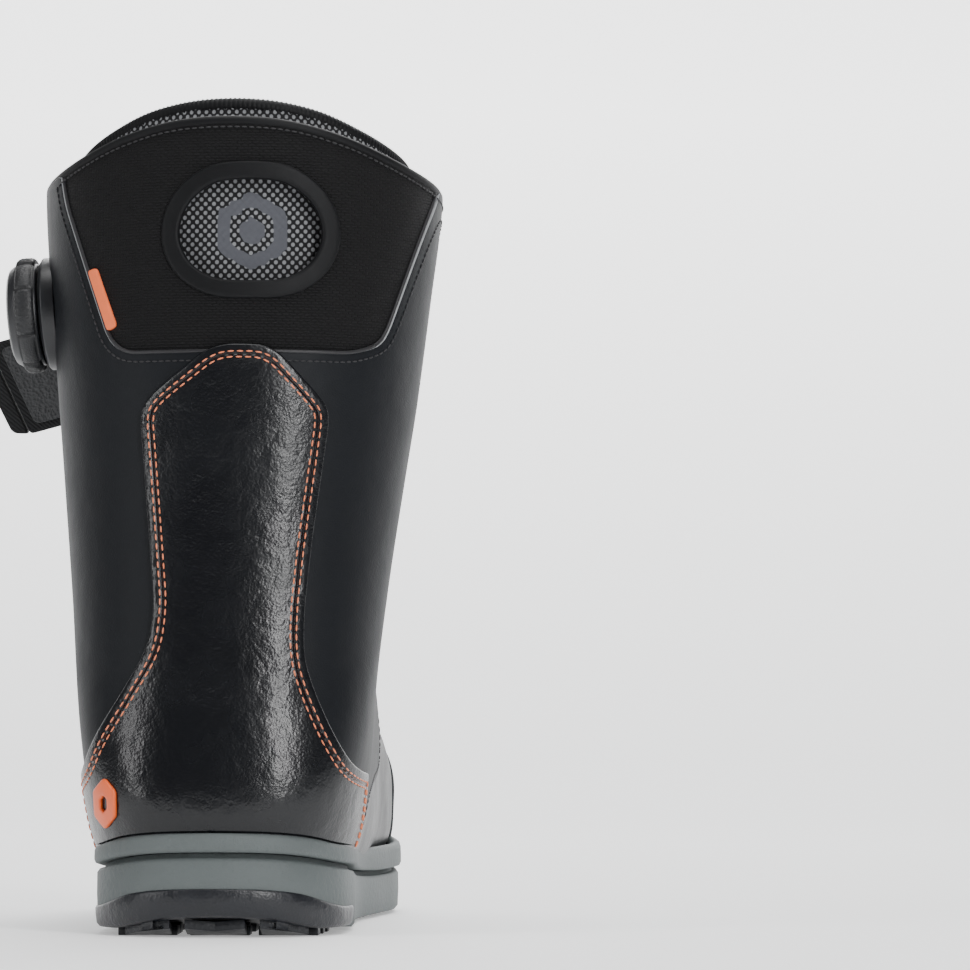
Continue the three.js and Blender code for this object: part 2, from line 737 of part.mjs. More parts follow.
// Folded label caught in the seam of the mesh panel.
const tagShape = new THREE.Shape(
  graded2([[-48.6, 240], [-46.2, 240.4], [-38.4, 220], [-41, 218.6]], gradeX, gradeZ),
);
const tagLow = panelLow + meshThickness + gap;
piece("seam_tag", largest(skin(tagLow, tagLow + 1).intersect(backCut(tagShape))), finishes.orange);

// Plain six-sided badge moulded on the side of the heel.
const badgeAt = [-40.2 * gradeX, 47.3 * gradeZ];
const badgeRadius = { wide: 4.6, tall: 8.6 };
function hexagon(wide, tall) {
  return new THREE.Shape(
    Array.from({ length: 6 }, (_, i) => {
      const angle = (i * Math.PI) / 3 + Math.PI / 2;
      return new THREE.Vector2(badgeAt[0] + wide * Math.cos(angle), badgeAt[1] + tall * Math.sin(angle));
    }),
  );
}
const badge = skin(overHigh + gap, overHigh + gap + 1)
  .intersect(backCut(hexagon(badgeRadius.wide, badgeRadius.tall)))
  .subtract(backCut(hexagon(badgeRadius.wide * 0.42, badgeRadius.tall * 0.42)));
piece("heel_badge", largest(badge), finishes.orange);

// Hook-and-loop landing for the strap, on the lateral cuff.
const loopPatch = overSkin.intersect(
  sideCut(
    new THREE.Shape(graded2([[-36, 168], [-18, 168], [-18, 200], [-36, 200]], gradeY, gradeZ)),
    -reach,
    reach,
  ),
);
piece("loop_patch", largest(loopPatch.subtract(throatCut(eyestayWidth + 1))), finishes.webbingBlack);

// ---------------------------------------------------------------- liner

const linerOut = lastShrunk(linerRoom);
const linerIn = lastShrunk(linerRoom + linerFoam);
const linerThroat = throatCut(-4);
const linerShell = linerOut.intersect(underLine(linerLine)).subtract(linerIn).subtract(linerThroat);
piece("liner", largest(linerShell), finishes.foamGrey);

const linerRim = rim((y) => linerTop(y), linerRoom + linerFoam / 2, throatHalf.high + 4, 28);
linerRim.forEach((p) => (p.z += linerBindingRadius + gap * 2.5));
piece("liner_binding", edgeTube(linerRim, linerBindingRadius), finishes.webbingBlack);

const linerTongue = linerOut
  .subtract(linerIn)
  .intersect(throatCut(-4 - tongueClearance))
  .intersect(underLine(linerLine, -2));
piece("liner_tongue", largest(linerTongue), finishes.foamGrey);

const footbedLow = lastFloor * gradeZ + linerRoom + linerFoam + gap + 0.5;
piece(
  "footbed",
  largest(
    lastShrunk(linerRoom + linerFoam + 1.8).intersect(
      box([-reach, -reach, footbedLow], [reach, reach, footbedLow + footbedThickness]),
    ),
  ),
  finishes.foamGrey,
);

// ---------------------------------------------------------------- tongue

const tongueOut = panelHigh;
const tongueRise = 14; // over the collar
const tongueSolid = skin(tongueOut - tongueThickness, tongueOut)
  .intersect(throatCut(-tongueClearance))
  .intersect(underLine(collarLine, tongueRise));
const tongueTopAt = (y) => heightOn(collarLine, y) + tongueRise;
piece("tongue", largest(tongueSolid), finishes.matteBlack);

// ---------------------------------------------------------------- dial

// The dial stands on the lateral quarter. In its own frame z is the knob's axis, out of the boot,
// and x points to the toe.
const dialU = 0.871;
const dialV = Math.PI * 1.5;
const dialFoot = onLast(dialU, dialV, panelHigh + gap);
const dialOut = lastNormal(dialU, dialV);
const dialSide = new THREE.Vector3().crossVectors(dialOut, axisY).normalize();
const dialAhead = new THREE.Vector3().crossVectors(dialSide, dialOut);
const dialFrame = new THREE.Matrix4().makeBasis(dialAhead, dialSide, dialOut).setPosition(dialFoot);
const inDial = (x, y, z) => new THREE.Vector3(x, y, z).applyMatrix4(dialFrame);

// A solid turned from a closed profile of radius and height, on the dial's axis.
function turnedOnDial(points, segments = 20) {
  const profile = points.map(([r, z]) => new THREE.Vector2(r, z));
  const geometry = new THREE.LatheGeometry(profile, segments).rotateX(Math.PI / 2).toNonIndexed();
  const made = solid(geometry.applyMatrix4(dialFrame));
  return made.volume() > 0 ? made : solid(turned(geometry));
}

const cupFloor = 0.8;
const bezelTop = 3.2;
const cupTop = 8;
const cupBore = dialCupRadius - dialWall;
const spoolLow = cupFloor + runningClearance;
const spoolTop = spoolLow + spoolHeight;
const laceLevel = spoolLow + spoolHeight / 2;
const hubLow = spoolTop + runningClearance;
const hubTop = cupTop + runningClearance;
const axleTop = 12.2;
const bossRadius = 6.2;
const bore = axleRadius + runningClearance;
const knobLow = 3.9;
const knobTop = knobLow + knobHeight;
const knobBore = bossRadius + runningClearance;
const screwHead = { radius: 4.4, height: 1.3 };

const baseTurned = turnedOnDial([
  [0, -4], [dialBaseRadius, -4], [dialBaseRadius, bezelTop - 1.4], [dialBaseRadius - 1.4, bezelTop],
  [dialCupRadius, bezelTop], [dialCupRadius, cupTop], [cupBore, cupTop], [cupBore, cupFloor],
  [axleRadius, cupFloor], [axleRadius, axleTop], [screwRadius + gap, axleTop], [screwRadius + gap, 1.6], [0, 1.6],
  [0, -4],
]);
const laceWay = laceDiameter / 2 + laceClearance;
const spool = turnedOnDial([
  [bore, spoolLow], [cupBore - runningClearance, spoolLow], [cupBore - runningClearance, spoolLow + 0.7],
  [spoolWaist, laceLevel - laceWay], [spoolWaist, laceLevel + laceWay], [cupBore - runningClearance, spoolTop - 0.7],
  [cupBore - runningClearance, spoolTop], [bore, spoolTop], [bore, spoolLow],
]);
piece("dial_spool", spool, finishes.plasticBlack);

const hub = turnedOnDial([
  [bore, hubLow], [cupBore - runningClearance, hubLow], [cupBore - runningClearance, hubTop], [bossRadius, hubTop],
  [bossRadius, axleTop - gap], [bore, axleTop - gap], [bore, hubLow],
]);
piece("dial_drive_hub", hub, finishes.plasticBlack);

const screw = turnedOnDial(
  [
    [0, 1.6 + gap], [screwRadius, 1.6 + gap], [screwRadius, axleTop + gap], [screwHead.radius, axleTop + gap],
    [screwHead.radius, axleTop + gap + screwHead.height], [0, axleTop + gap + screwHead.height], [0, 1.6 + gap],
  ],
  16,
);
piece("dial_screw", screw, finishes.steel);

const knobShell = knobRadius - gripThickness - gap;
const capRadius = 12.6;
const ringRadius = { inner: capRadius + gap, outer: capRadius + 1.7 };
const knob = turnedOnDial([
  [dialCupRadius + 0.6, knobLow], [knobShell - 0.6, knobLow], [knobShell, knobLow + 0.8], [knobShell, knobTop - 3.4],
  [ringRadius.outer + 1.2, knobTop], [ringRadius.outer + gap, knobTop], [ringRadius.outer + gap, knobTop - 1.4],
  [knobBore, knobTop - 1.4], [knobBore, hubTop + gap], [dialCupRadius + 0.6, hubTop + gap],
  [dialCupRadius + 0.6, knobLow],
]);
piece("dial_knob", knob, finishes.plasticBlack);

piece(
  "dial_ring",
  turnedOnDial([
    [ringRadius.inner, knobTop - 1.4 + gap], [ringRadius.outer, knobTop - 1.4 + gap],
    [ringRadius.outer, knobTop], [ringRadius.inner, knobTop], [ringRadius.inner, knobTop - 1.4 + gap],
  ]),
  finishes.steel,
);
piece(
  "dial_cap",
  turnedOnDial([
    [0, knobTop - 1.4 + gap], [capRadius, knobTop - 1.4 + gap], [capRadius, knobTop - 0.3],
    [0, knobTop + 0.3], [0, knobTop - 1.4 + gap],
  ]),
  finishes.matteBlack,
);

// Rubber grip round the knob, ribbed in three zones.
function gripShape() {
  const shape = new THREE.Shape();
  const teeth = 30;
  for (let i = 0; i < teeth * 2; i++) {
    const angle = (i * Math.PI) / teeth;
    const ribbed = i % 20 < 14;
    const radius = ribbed && i % 2 ? knobRadius - 1 : knobRadius;
    shape[i ? "lineTo" : "moveTo"](radius * Math.cos(angle), radius * Math.sin(angle));
  }
  shape.holes.push(new THREE.Path().absarc(0, 0, knobRadius - gripThickness, 0, 2 * Math.PI, true));
  return shape;
}
const gripLow = knobLow + 0.9;
const grip = new THREE.ExtrudeGeometry(gripShape(), {
  depth: knobHeight - 4.6,
  bevelEnabled: false,
  curveSegments: 24,
});
piece("dial_grip", solid(grip.translate(0, 0, gripLow).applyMatrix4(dialFrame)), finishes.rubberBlack);

// ---------------------------------------------------------------- lace and its guides

// The point of the last on slice u at x, in front, standing off by `off`.
function frontPoint(u, x, off) {
  let low = -Math.PI * 0.55;
  let high = Math.PI * 0.55;
  for (let i = 0; i < 24; i++) {
    const mid = (low + high) / 2;
    if (lastPoint(u, mid).x < x) low = mid;
    else high = mid;
  }
  return onLast(u, low, off);
}

// Half the throat's width where slice u meets its edge.
function throatEdge(u) {
  const above = lastPoint(u, 0.5).sub(throatRoot).dot(throatUp);
  const from = throatLow + throatHalf.low;
  const share = THREE.MathUtils.clamp((above - from) / (throatHigh - from), 0, 1);
  return throatHalf.low + (throatHalf.high - throatHalf.low) * share;
}

const laceOff = overHigh + gap + guideFloor + laceWay;
// Where the lace turns: slice and side, from the dial down to the toe.
const laceTurns = [
  [0.742, 1], [0.68, -1], [0.625, 1], [0.575, -1], [0.432, 1], [0.41, -1], [0.388, 1], [0.366, -1],
];
const slicesPerMm = (u) => 0.02 / frontLine.getPoint(u + 0.01).distanceTo(frontLine.getPoint(u - 0.01));

// From the dial to the throat: slice and the angle round it.
const laceAhead = [[0.858, 1.64], [0.83, 1.71], [0.8, 1.785], [0.787, 1.845], [0.776, 1.905]];

function laceRoute() {
  const points = [inDial(-2, -spoolWaist - 1.1, laceLevel), inDial(dialBaseRadius + 1, -spoolWaist - 1.1, laceLevel)];
  laceAhead.forEach(([u, v]) => points.push(onLast(u, v * Math.PI, laceOff)));
  laceTurns.forEach(([u, side], i) => {
    const half = laceTurnRadius * slicesPerMm(u);
    const edge = throatEdge(u);
    const far = edge + eyestayWidth / 2;
    const put = (du, x) => points.push(frontPoint(u + du * half, side * x, laceOff));
    points.push(frontPoint(u + half * 1.4, 0, laceOff + laceClearance * 2));
    put(1, edge - 3);
    put(1, far - 1);
    put(0.7, far + 1.8);
    put(0, far + 3);
    if (i === laceTurns.length - 1) return;
    put(-0.7, far + 1.8);
    put(-1, far - 1);
    put(-1, edge - 3);
  });
  return points;
}
// The way back up the side of the boot to the dial: slice and the angle round it.
const laceReturn = [
  [0.385, 1.72], [0.45, 1.672], [0.52, 1.64], [0.58, 1.62], [0.64, 1.602], [0.7, 1.585], [0.755, 1.568],
];
const returnOff = panelHigh + gap + 1.3 + laceDiameter / 2;
const lacePoints = laceRoute();
laceReturn.forEach(([u, v]) => lacePoints.push(onLast(u, v * Math.PI, returnOff)));
lacePoints.push(
  inDial(dialBaseRadius + 1, spoolWaist + 1.1, laceLevel),
  inDial(-2, spoolWaist + 1.1, laceLevel),
);
const laceFat = (radius, sides) => edgeTube(lacePoints, radius, sides);
piece("dial_lace", laceFat(laceDiameter / 2, 4), finishes.steel);
const laceChannel = laceFat(laceWay, 3);

piece("dial_base", largest(baseTurned.subtract(grown(overLow)).subtract(laceChannel)), finishes.plasticBlack);

// Guides: low moulded blocks on the eyestays that the lace turns in.
function guideBlock(u, side) {
  const centre = frontPoint(u, side * (throatEdge(u) + eyestayWidth / 2 + 1), 0);
  const out = lastNormal(u, 0).lerp(new THREE.Vector3(side, 0, 0), 0.35).normalize();
  const across = new THREE.Vector3().crossVectors(throatUp, out).normalize();
  const up = new THREE.Vector3().crossVectors(out, across);
  const w = guideWidth / 2;
  const l = guideLength / 2;
  const c = 3;
  const shape = new THREE.Shape(
    [[-w, -l + c], [-w + c, -l], [w - c, -l], [w, -l + c], [w, l - c], [w - c, l], [-w + c, l], [-w, l - c]].map(
      ([a, b]) => new THREE.Vector2(a, b),
    ),
  );
  return prism(shape, centre.addScaledVector(out, -10), across, up, 30);
}
const guideSkin = skin(overHigh + gap, overHigh + gap + guideHeight);
laceTurns.forEach(([u, side], i) => {
  const place = `${side < 0 ? "lateral" : "medial"}_${Math.floor(i / 2) + 1}`;
  const guide = guideSkin.intersect(guideBlock(u, side)).subtract(laceChannel);
  piece(`lace_guide_${place}`, largest(guide), finishes.plasticBlack);
});

// Sleeve on the lateral side that the lace runs back in.
const sleevePoints = laceReturn.slice(1, -1).map(([u, v]) => onLast(u, v * Math.PI, returnOff));
const sleeve = edgeTube(sleevePoints, laceWay + 0.9, 4).subtract(laceChannel);
piece("lace_sleeve", largest(sleeve.subtract(grown(overLow))), finishes.webbingBlack);

// ---------------------------------------------------------------- power strap

// Sewn to the tongue on its medial side, over the lace, and free past the lateral eyestay.
const strapLow = overHigh + gap + guideHeight + gap * 2;
const strapMiddle = { x: -4 * gradeX, z: 227 * gradeZ };
const strapSlope = THREE.MathUtils.degToRad(14);
const strapAlong = new THREE.Vector3(-Math.cos(strapSlope), 0, -Math.sin(strapSlope));
const strapAcross = new THREE.Vector3(-Math.sin(strapSlope), 0, Math.cos(strapSlope));
const strapBend = 27; // from the middle to the bend on the lateral side
const strapRoot = 24; // from the middle to its end on the tongue
const strapOrigin = new THREE.Vector3(strapMiddle.x, 60, strapMiddle.z);
const strapBox = (from, to, half) =>
  prism(
    new THREE.Shape([[from, -half], [to, -half], [to, half], [from, half]].map(([a, b]) => new THREE.Vector2(a, b))),
    strapOrigin.clone().addScaledVector(axisY, -90),
    strapAlong,
    strapAcross,
    90,
  );
const band = skin(strapLow, strapLow + strapThickness).intersect(
  strapBox(-strapRoot, strapBend, strapWidth / 2),
);
piece("power_strap", largest(band), finishes.webbingBlack);
const anchor = skin(panelHigh + gap, strapLow - gap).intersect(
  strapBox(-strapRoot, -strapRoot + 12, strapWidth / 2 - 2),
);
piece("strap_anchor", largest(anchor), finishes.webbingBlack);

// The free end: a flat slab past the bend, hooks on its inner face and a sewn tab at its tip.
const bendPoint = frontOfStrap(strapBend);
const strapSpread = THREE.MathUtils.degToRad(13); // the free end stands back from straight across
const flapAlong = strapAlong.clone().applyAxisAngle(strapAcross, -strapSpread);
const flapOut = new THREE.Vector3().crossVectors(flapAlong, strapAcross).normalize();
// Where the strap's inner face crosses its middle line, at a distance from the tongue's middle.
function frontOfStrap(distance) {
  const from = new THREE.Vector3(strapMiddle.x, 0, strapMiddle.z).addScaledVector(strapAlong, distance);
  let low = 0.6;
  let high = 1;
  for (let i = 0; i < 24; i++) {
    const mid = (low + high) / 2;
    if (frontPoint(mid, from.x, strapLow).z < from.z) low = mid;
    else high = mid;
  }
  return frontPoint(low, from.x, strapLow);
}
const flapHalf = strapWidth / 2;
const flapSlab = (points, low, high) =>
  prism(
    new THREE.Shape(points.map(([a, b]) => new THREE.Vector2(a, b))),
    bendPoint.clone().addScaledVector(flapOut, low + strapThickness / 2),
    flapAlong,
    strapAcross,
    high - low,
  );
const hooksFrom = 14; // hooks start this far past the bend
const hooksBack = 4; // and end this far short of the tip
const tabLength = 7;
const tipSlant = 8; // the tip's top corner stands out past its bottom corner
const tipAt = (b, back = 0) => strapFlapLength - back + (tipSlant * b) / strapWidth;
const flapStart = -2.6; // the surface leans out past the end of the sewn part
const flapEdge = (from, half, back) => [
  [from, -half], [tipAt(-half, back), -half], [tipAt(half, back), half], [from, half],
];
piece(
  "strap_end",
  flapSlab(flapEdge(flapStart, flapHalf, 0), -strapThickness / 2, strapThickness / 2),
  finishes.webbingBlack,
);
piece(
  "strap_hooks",
  flapSlab(
    flapEdge(hooksFrom, flapHalf - 3, hooksBack),
    -strapThickness / 2 - gap - hookThickness,
    -strapThickness / 2 - gap,
  ),
  finishes.plasticBlack,
);

piece(
  "strap_end_tab",
  flapSlab(
    [
      [tipAt(-flapHalf) + gap, -flapHalf], [tipAt(-flapHalf) + tabLength, -flapHalf + 2],
      [tipAt(flapHalf) + tabLength, flapHalf - 2], [tipAt(flapHalf) + gap, flapHalf],
    ],
    -strapThickness / 2 - 0.6,
    strapThickness / 2 + 0.6,
  ),
  finishes.webbingBlack,
);

// ---------------------------------------------------------------- tongue pull loop

// A folded strip of webbing standing on the tongue's top edge.
const loopSeat = frontPoint(0.9, 0, tongueOut - tongueThickness / 2);
const loopFoot = new THREE.Vector3(loopSeat.x, loopSeat.y, tongueTopAt(loopSeat.y) + gap);
function loopShape() {
  const { depth, reach: tall, thickness } = pullLoop;
  const shape = new THREE.Shape();
  shape.moveTo(-depth / 2, 0);
  shape.lineTo(depth / 2, 0);
  shape.lineTo(depth / 2, tall - depth / 2);
  shape.absarc(0, tall - depth / 2, depth / 2, 0, Math.PI);
  shape.lineTo(-depth / 2, 0);
  const inner = depth / 2 - thickness;
  const hole = new THREE.Path();
  hole.moveTo(-inner, thickness);
  hole.lineTo(-inner, tall - depth / 2);
  hole.absarc(0, tall - depth / 2, inner, Math.PI, 0, true);
  hole.lineTo(inner, thickness);
  hole.lineTo(-inner, thickness);
  shape.holes.push(hole);
  return shape;
}
piece(
  "tongue_pull_loop",
  prism(loopShape(), loopFoot.clone().addScaledVector(axisX, -pullLoop.width / 2), axisY, axisZ, pullLoop.width),
  finishes.webbingBlack,
);

export default boot;
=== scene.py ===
import math

import bmesh
import bpy
import numpy as np
from mathutils import Matrix, Vector


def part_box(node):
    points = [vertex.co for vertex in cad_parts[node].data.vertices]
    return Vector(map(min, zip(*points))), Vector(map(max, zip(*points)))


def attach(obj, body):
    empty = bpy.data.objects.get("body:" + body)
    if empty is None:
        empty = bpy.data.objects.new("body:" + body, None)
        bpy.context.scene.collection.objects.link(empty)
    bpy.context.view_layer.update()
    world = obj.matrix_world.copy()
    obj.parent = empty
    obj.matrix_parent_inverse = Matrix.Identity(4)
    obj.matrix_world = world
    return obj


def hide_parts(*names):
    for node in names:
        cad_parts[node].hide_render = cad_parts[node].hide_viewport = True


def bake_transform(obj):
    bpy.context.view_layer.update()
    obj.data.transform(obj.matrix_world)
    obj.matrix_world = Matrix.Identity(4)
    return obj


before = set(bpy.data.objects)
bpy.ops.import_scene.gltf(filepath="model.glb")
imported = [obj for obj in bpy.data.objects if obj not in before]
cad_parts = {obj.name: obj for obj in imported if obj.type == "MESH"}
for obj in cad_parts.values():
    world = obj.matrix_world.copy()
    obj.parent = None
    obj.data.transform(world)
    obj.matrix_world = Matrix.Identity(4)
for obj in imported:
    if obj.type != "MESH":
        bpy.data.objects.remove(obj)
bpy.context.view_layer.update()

# ---------------------------------------------------------------- studio
# A camera low behind the heel, a pale floor that runs up into a wall, and broad soft lamps. The floor
# and wall also glow with painted light, dim on the floor and brighter up the wall.

MM = 0.001
scene = bpy.context.scene


def aim(obj, target):
    obj.rotation_euler = (Vector(target) - obj.location).to_track_quat("-Z", "Y").to_euler()


turn = math.radians(5)
ahead = Vector((-math.sin(turn), math.cos(turn), 0))
aside = Vector((math.cos(turn), math.sin(turn), 0))
heel = Vector((0.003, -0.149, 0.085))
camera = bpy.data.objects.new("camera", bpy.data.cameras.new("camera"))
camera.location = heel - ahead * 1.8
aim(camera, heel + aside * 0.0936 + Vector((0, 0, 0.076)))
camera.data.sensor_width = 36
camera.data.lens = 187.7
scene.collection.objects.link(camera)
scene.camera = camera

for name, place, size, power in [
    ("lamp_right", (0.75, -1.25, 0.75), (0.16, 1.1), 17),
    ("lamp_left", (-1.3, -0.9, 0.7), (0.2, 1.2), 8),
    ("lamp_top", (0.1, -0.1, 1.9), (1.2, 1.2), 26),
    ("lamp_front", (0.3, 1.5, 1.6), (1.6, 1.0), 36),
]:
    lamp = bpy.data.objects.new(name, bpy.data.lights.new(name, "AREA"))
    lamp.data.shape = "RECTANGLE"
    lamp.data.size, lamp.data.size_y = size
    lamp.data.energy = power
    lamp.location = place
    aim(lamp, (0, -0.05, 0.15))
    scene.collection.objects.link(lamp)

world = bpy.data.worlds.new("studio")
world.use_nodes = True
world.node_tree.nodes["Background"].inputs["Color"].default_value = (1, 1, 1, 1)
world.node_tree.nodes["Background"].inputs["Strength"].default_value = 0.16
scene.world = world


def add_object(name, bm, material, smooth=True):
    """Links a finished bmesh as an object that stands at the origin."""
    mesh = bpy.data.meshes.new(name)
    bm.to_mesh(mesh)
    bm.free()
    mesh.polygons.foreach_set("use_smooth", [smooth] * len(mesh.polygons))
    for one in material if isinstance(material, list) else [material]:
        mesh.materials.append(one)
    obj = bpy.data.objects.new(name, mesh)
    scene.collection.objects.link(obj)
    return obj


def finish(name, colour, roughness, metallic=0.0, mottle=0.12, mottle_size=12, grains=(), wear=0.08,
           **sockets):
    """A finish: a base colour that varies a little over mottle_size mm, roughness that wears unevenly,
    and bumps laid over each other. Each grain is (pattern, size in mm, height in mm)."""
    made = bpy.data.materials.new(name)
    made.use_nodes = True
    tree = made.node_tree
    shader = tree.nodes["Principled BSDF"]
    shader.inputs["Metallic"].default_value = metallic
    for socket, value in sockets.items():
        shader.inputs[socket.replace("_", " ")].default_value = value
    place = tree.nodes.new("ShaderNodeTexCoord")

    def pattern(kind, size, detail=2.0):
        node = tree.nodes.new("ShaderNodeTexVoronoi" if kind in ("cells", "cracks") else "ShaderNodeTexNoise")
        node.inputs["Scale"].default_value = 1000 / size
        if kind == "cracks":
            node.feature = "DISTANCE_TO_EDGE"
        if kind == "noise":
            node.inputs["Detail"].default_value = detail
        tree.links.new(place.outputs["Object"], node.inputs["Vector"])
        return node.outputs["Distance" if kind in ("cells", "cracks") else "Fac"]

    cloud = pattern("noise", mottle_size, 4.0)
    blend = tree.nodes.new("ShaderNodeMix")
    blend.data_type = "RGBA"
    dark, light = 1 - mottle, 1 + mottle
    blend.inputs["A"].default_value = (*[c * dark for c in colour], 1)
    blend.inputs["B"].default_value = (*[min(1, c * light) for c in colour], 1)
    tree.links.new(cloud, blend.inputs["Factor"])
    tree.links.new(blend.outputs["Result"], shader.inputs["Base Color"])
    dull = tree.nodes.new("ShaderNodeMapRange")
    dull.inputs["To Min"].default_value = max(0.02, roughness - wear)
    dull.inputs["To Max"].default_value = min(1, roughness + wear)
    tree.links.new(cloud, dull.inputs["Value"])
    tree.links.new(dull.outputs["Result"], shader.inputs["Roughness"])
    normal = None
    for kind, size, height in grains:
        bump = tree.nodes.new("ShaderNodeBump")
        bump.inputs["Distance"].default_value = height * MM
        bump.inputs["Strength"].default_value = 1
        tree.links.new(pattern(kind, size), bump.inputs["Height"])
        if normal:
            tree.links.new(normal, bump.inputs["Normal"])
        normal = bump.outputs["Normal"]
    if normal:
        tree.links.new(normal, shader.inputs["Normal"])
    return made


def add_bump(material, socket, depth):
    """Lays one more bump, depth millimetres high, over those that a finish has."""
    tree = material.node_tree
    shader = tree.nodes["Principled BSDF"]
    bump = tree.nodes.new("ShaderNodeBump")
    bump.inputs["Distance"].default_value = depth * MM
    tree.links.new(socket, bump.inputs["Height"])
    if shader.inputs["Normal"].is_linked:
        tree.links.new(shader.inputs["Normal"].links[0].from_socket, bump.inputs["Normal"])
    tree.links.new(bump.outputs["Normal"], shader.inputs["Normal"])


def tint(material, socket, colour, low=0.0, high=1.0):
    """Lays a second colour over a finish, from none where socket is low to all where it is high."""
    tree = material.node_tree
    shader = tree.nodes["Principled BSDF"]
    spread, mix = tree.nodes.new("ShaderNodeMapRange"), tree.nodes.new("ShaderNodeMix")
    spread.inputs["From Min"].default_value, spread.inputs["From Max"].default_value = low, high
    mix.data_type = "RGBA"
    tree.links.new(socket, spread.inputs["Value"])
    tree.links.new(spread.outputs["Result"], mix.inputs["Factor"])
    tree.links.new(shader.inputs["Base Color"].links[0].from_socket, mix.inputs["A"])
    mix.inputs["B"].default_value = (*colour, 1)
    tree.links.new(mix.outputs["Result"], shader.inputs["Base Color"])


def node_of(material, kind, vector=None, **values):
    """A pattern node in a finish, on Object coordinates or on the vector given."""
    tree = material.node_tree
    node = tree.nodes.new(kind)
    for key, value in values.items():
        node.inputs[key.replace("_", " ")].default_value = value
    if vector is None:
        vector = tree.nodes["Texture Coordinate"].outputs["Object"]
    tree.links.new(vector, node.inputs["Vector"])
    return node


def framed(origin, *axes):
    """A matrix with the three axes given as its columns."""
    matrix = Matrix.Identity(4)
    for column, axis in enumerate(axes):
        for row in range(3):
            matrix[row][column] = axis[row]
    matrix.translation = Vector(origin)
    return matrix


def coat(node, material):
    """Gives one of the plain solids a finish in place of its own."""
    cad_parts[node].data.materials.clear()
    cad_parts[node].data.materials.append(material)


def put(obj, body="shell", stands_for=()):
    """Hangs a piece on its body, in place of the solids it stands for."""
    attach(obj, body)
    if stands_for:
        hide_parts(*([stands_for] if isinstance(stands_for, str) else stands_for))
    return obj


# Painted light: the paper glows, dimly on the floor and more strongly up the wall.
painted_glow_paper = finish("painted_glow_paper", (0.83, 0.835, 0.84), 0.9, mottle=0.005, mottle_size=900, Emission_Color=(1, 1, 1, 1))
nodes, links = painted_glow_paper.node_tree.nodes, painted_glow_paper.node_tree.links
rise, glow = nodes.new("ShaderNodeSeparateXYZ"), nodes.new("ShaderNodeMapRange")
links.new(nodes["Texture Coordinate"].outputs["Object"], rise.inputs["Vector"])
links.new(rise.outputs["Z"], glow.inputs["Value"])
links.new(glow.outputs["Result"], nodes["Principled BSDF"].inputs["Emission Strength"])
glow.inputs["From Max"].default_value = 0.55
glow.inputs["To Min"].default_value, glow.inputs["To Max"].default_value = 0.35, 2.2
sweep = bmesh.new()
bmesh.ops.create_grid(sweep, x_segments=2, y_segments=40, size=1)
for vert in sweep.verts:
    run = (vert.co.y + 1) * 3.2
    bend = max(0, min(1.5, run - 4.2)) / 1.5 * math.pi / 2
    vert.co = (vert.co.x * 4, -3 + min(run, 4.2) + math.sin(bend), (1 - math.cos(bend)) + max(0, run - 5.7))
floor = add_object("floor", sweep, painted_glow_paper)

# ---------------------------------------------------------------- sole
# The sole is moulded in three parts: black rubber treads under the heel and forefoot, a grey foam
# midsole, and the grey rand that is bonded round the foot of the upper. Heights follow the side view.


def spline(rows, u, knot=0.5):
    """A Catmull-Rom curve through rows of numbers, read at shares u of its length from 0 to 1."""
    rows = np.asarray(rows, float)
    p = np.vstack([2 * rows[0] - rows[1], rows, 2 * rows[-1] - rows[-2]])
    p0, p1, p2, p3 = p[:-3], p[1:-2], p[2:-1], p[3:]
    s0, s1, s2 = (np.linalg.norm(b - a, axis=1)[:, None] ** knot for a, b in ((p0, p1), (p1, p2), (p2, p3)))
    out = ((p1 - p0) / s0 - (p2 - p0) / (s0 + s1) + (p2 - p1) / s1) * s1
    into = ((p2 - p1) / s1 - (p3 - p1) / (s1 + s2) + (p3 - p2) / s2) * s1
    along = np.clip(u, 0, 1) * len(p1)
    at = np.minimum(along.astype(int), len(p1) - 1)
    w = (along - at)[:, None]
    bend, sway = 3 * (p2 - p1) - 2 * out - into, 2 * (p1 - p2) + out + into
    return p1[at] + w * (out[at] + w * (bend[at] + w * sway[at]))


def run_of(line):
    """How far along a line each of its points is."""
    return np.concatenate([[0], np.cumsum(np.linalg.norm(np.diff(line, axis=0), axis=1))])


def spaced(line, step):
    """The same line with a point every step millimetres or so."""
    length = run_of(line)
    wanted = np.linspace(0, length[-1], max(3, round(length[-1] / step)))
    return np.stack([np.interp(wanted, length, column) for column in line.T], 1)


def smooth_line(points, step=1.5):
    return spaced(spline(points, np.linspace(0, 1, 40 * len(points))), step)


def smooth_loop(points, step=1.5):
    """A closed smooth line: its last point isn't repeated."""
    p = np.asarray(points, float)
    n = len(p)
    fine = spline(np.vstack([p[-3:], p, p[:4]]), np.linspace(0, 1, 80 * (n + 6) + 1))
    return spaced(fine[240:240 + 80 * n + 1], step)[:-1]


def grow_loop(loop, distance):
    """A closed line moved outwards along its own normals."""
    tangent = np.roll(loop, -1, 0) - np.roll(loop, 1, 0)
    tangent /= np.linalg.norm(tangent, axis=1)[:, None]
    after = np.roll(loop, -1, 0)
    turn_way = np.sign(np.sum(loop[:, 0] * after[:, 1] - loop[:, 1] * after[:, 0]))
    return loop + np.stack([tangent[:, 1], -tangent[:, 0]], 1) * turn_way * distance


def opened(line, points=None):
    """A closed line started again just after its widest gap."""
    points = line if points is None else points
    gap = np.linalg.norm(np.diff(points, axis=0, append=points[:1]), axis=1)
    return np.roll(line, -int(np.argmax(gap)) - 1, 0)


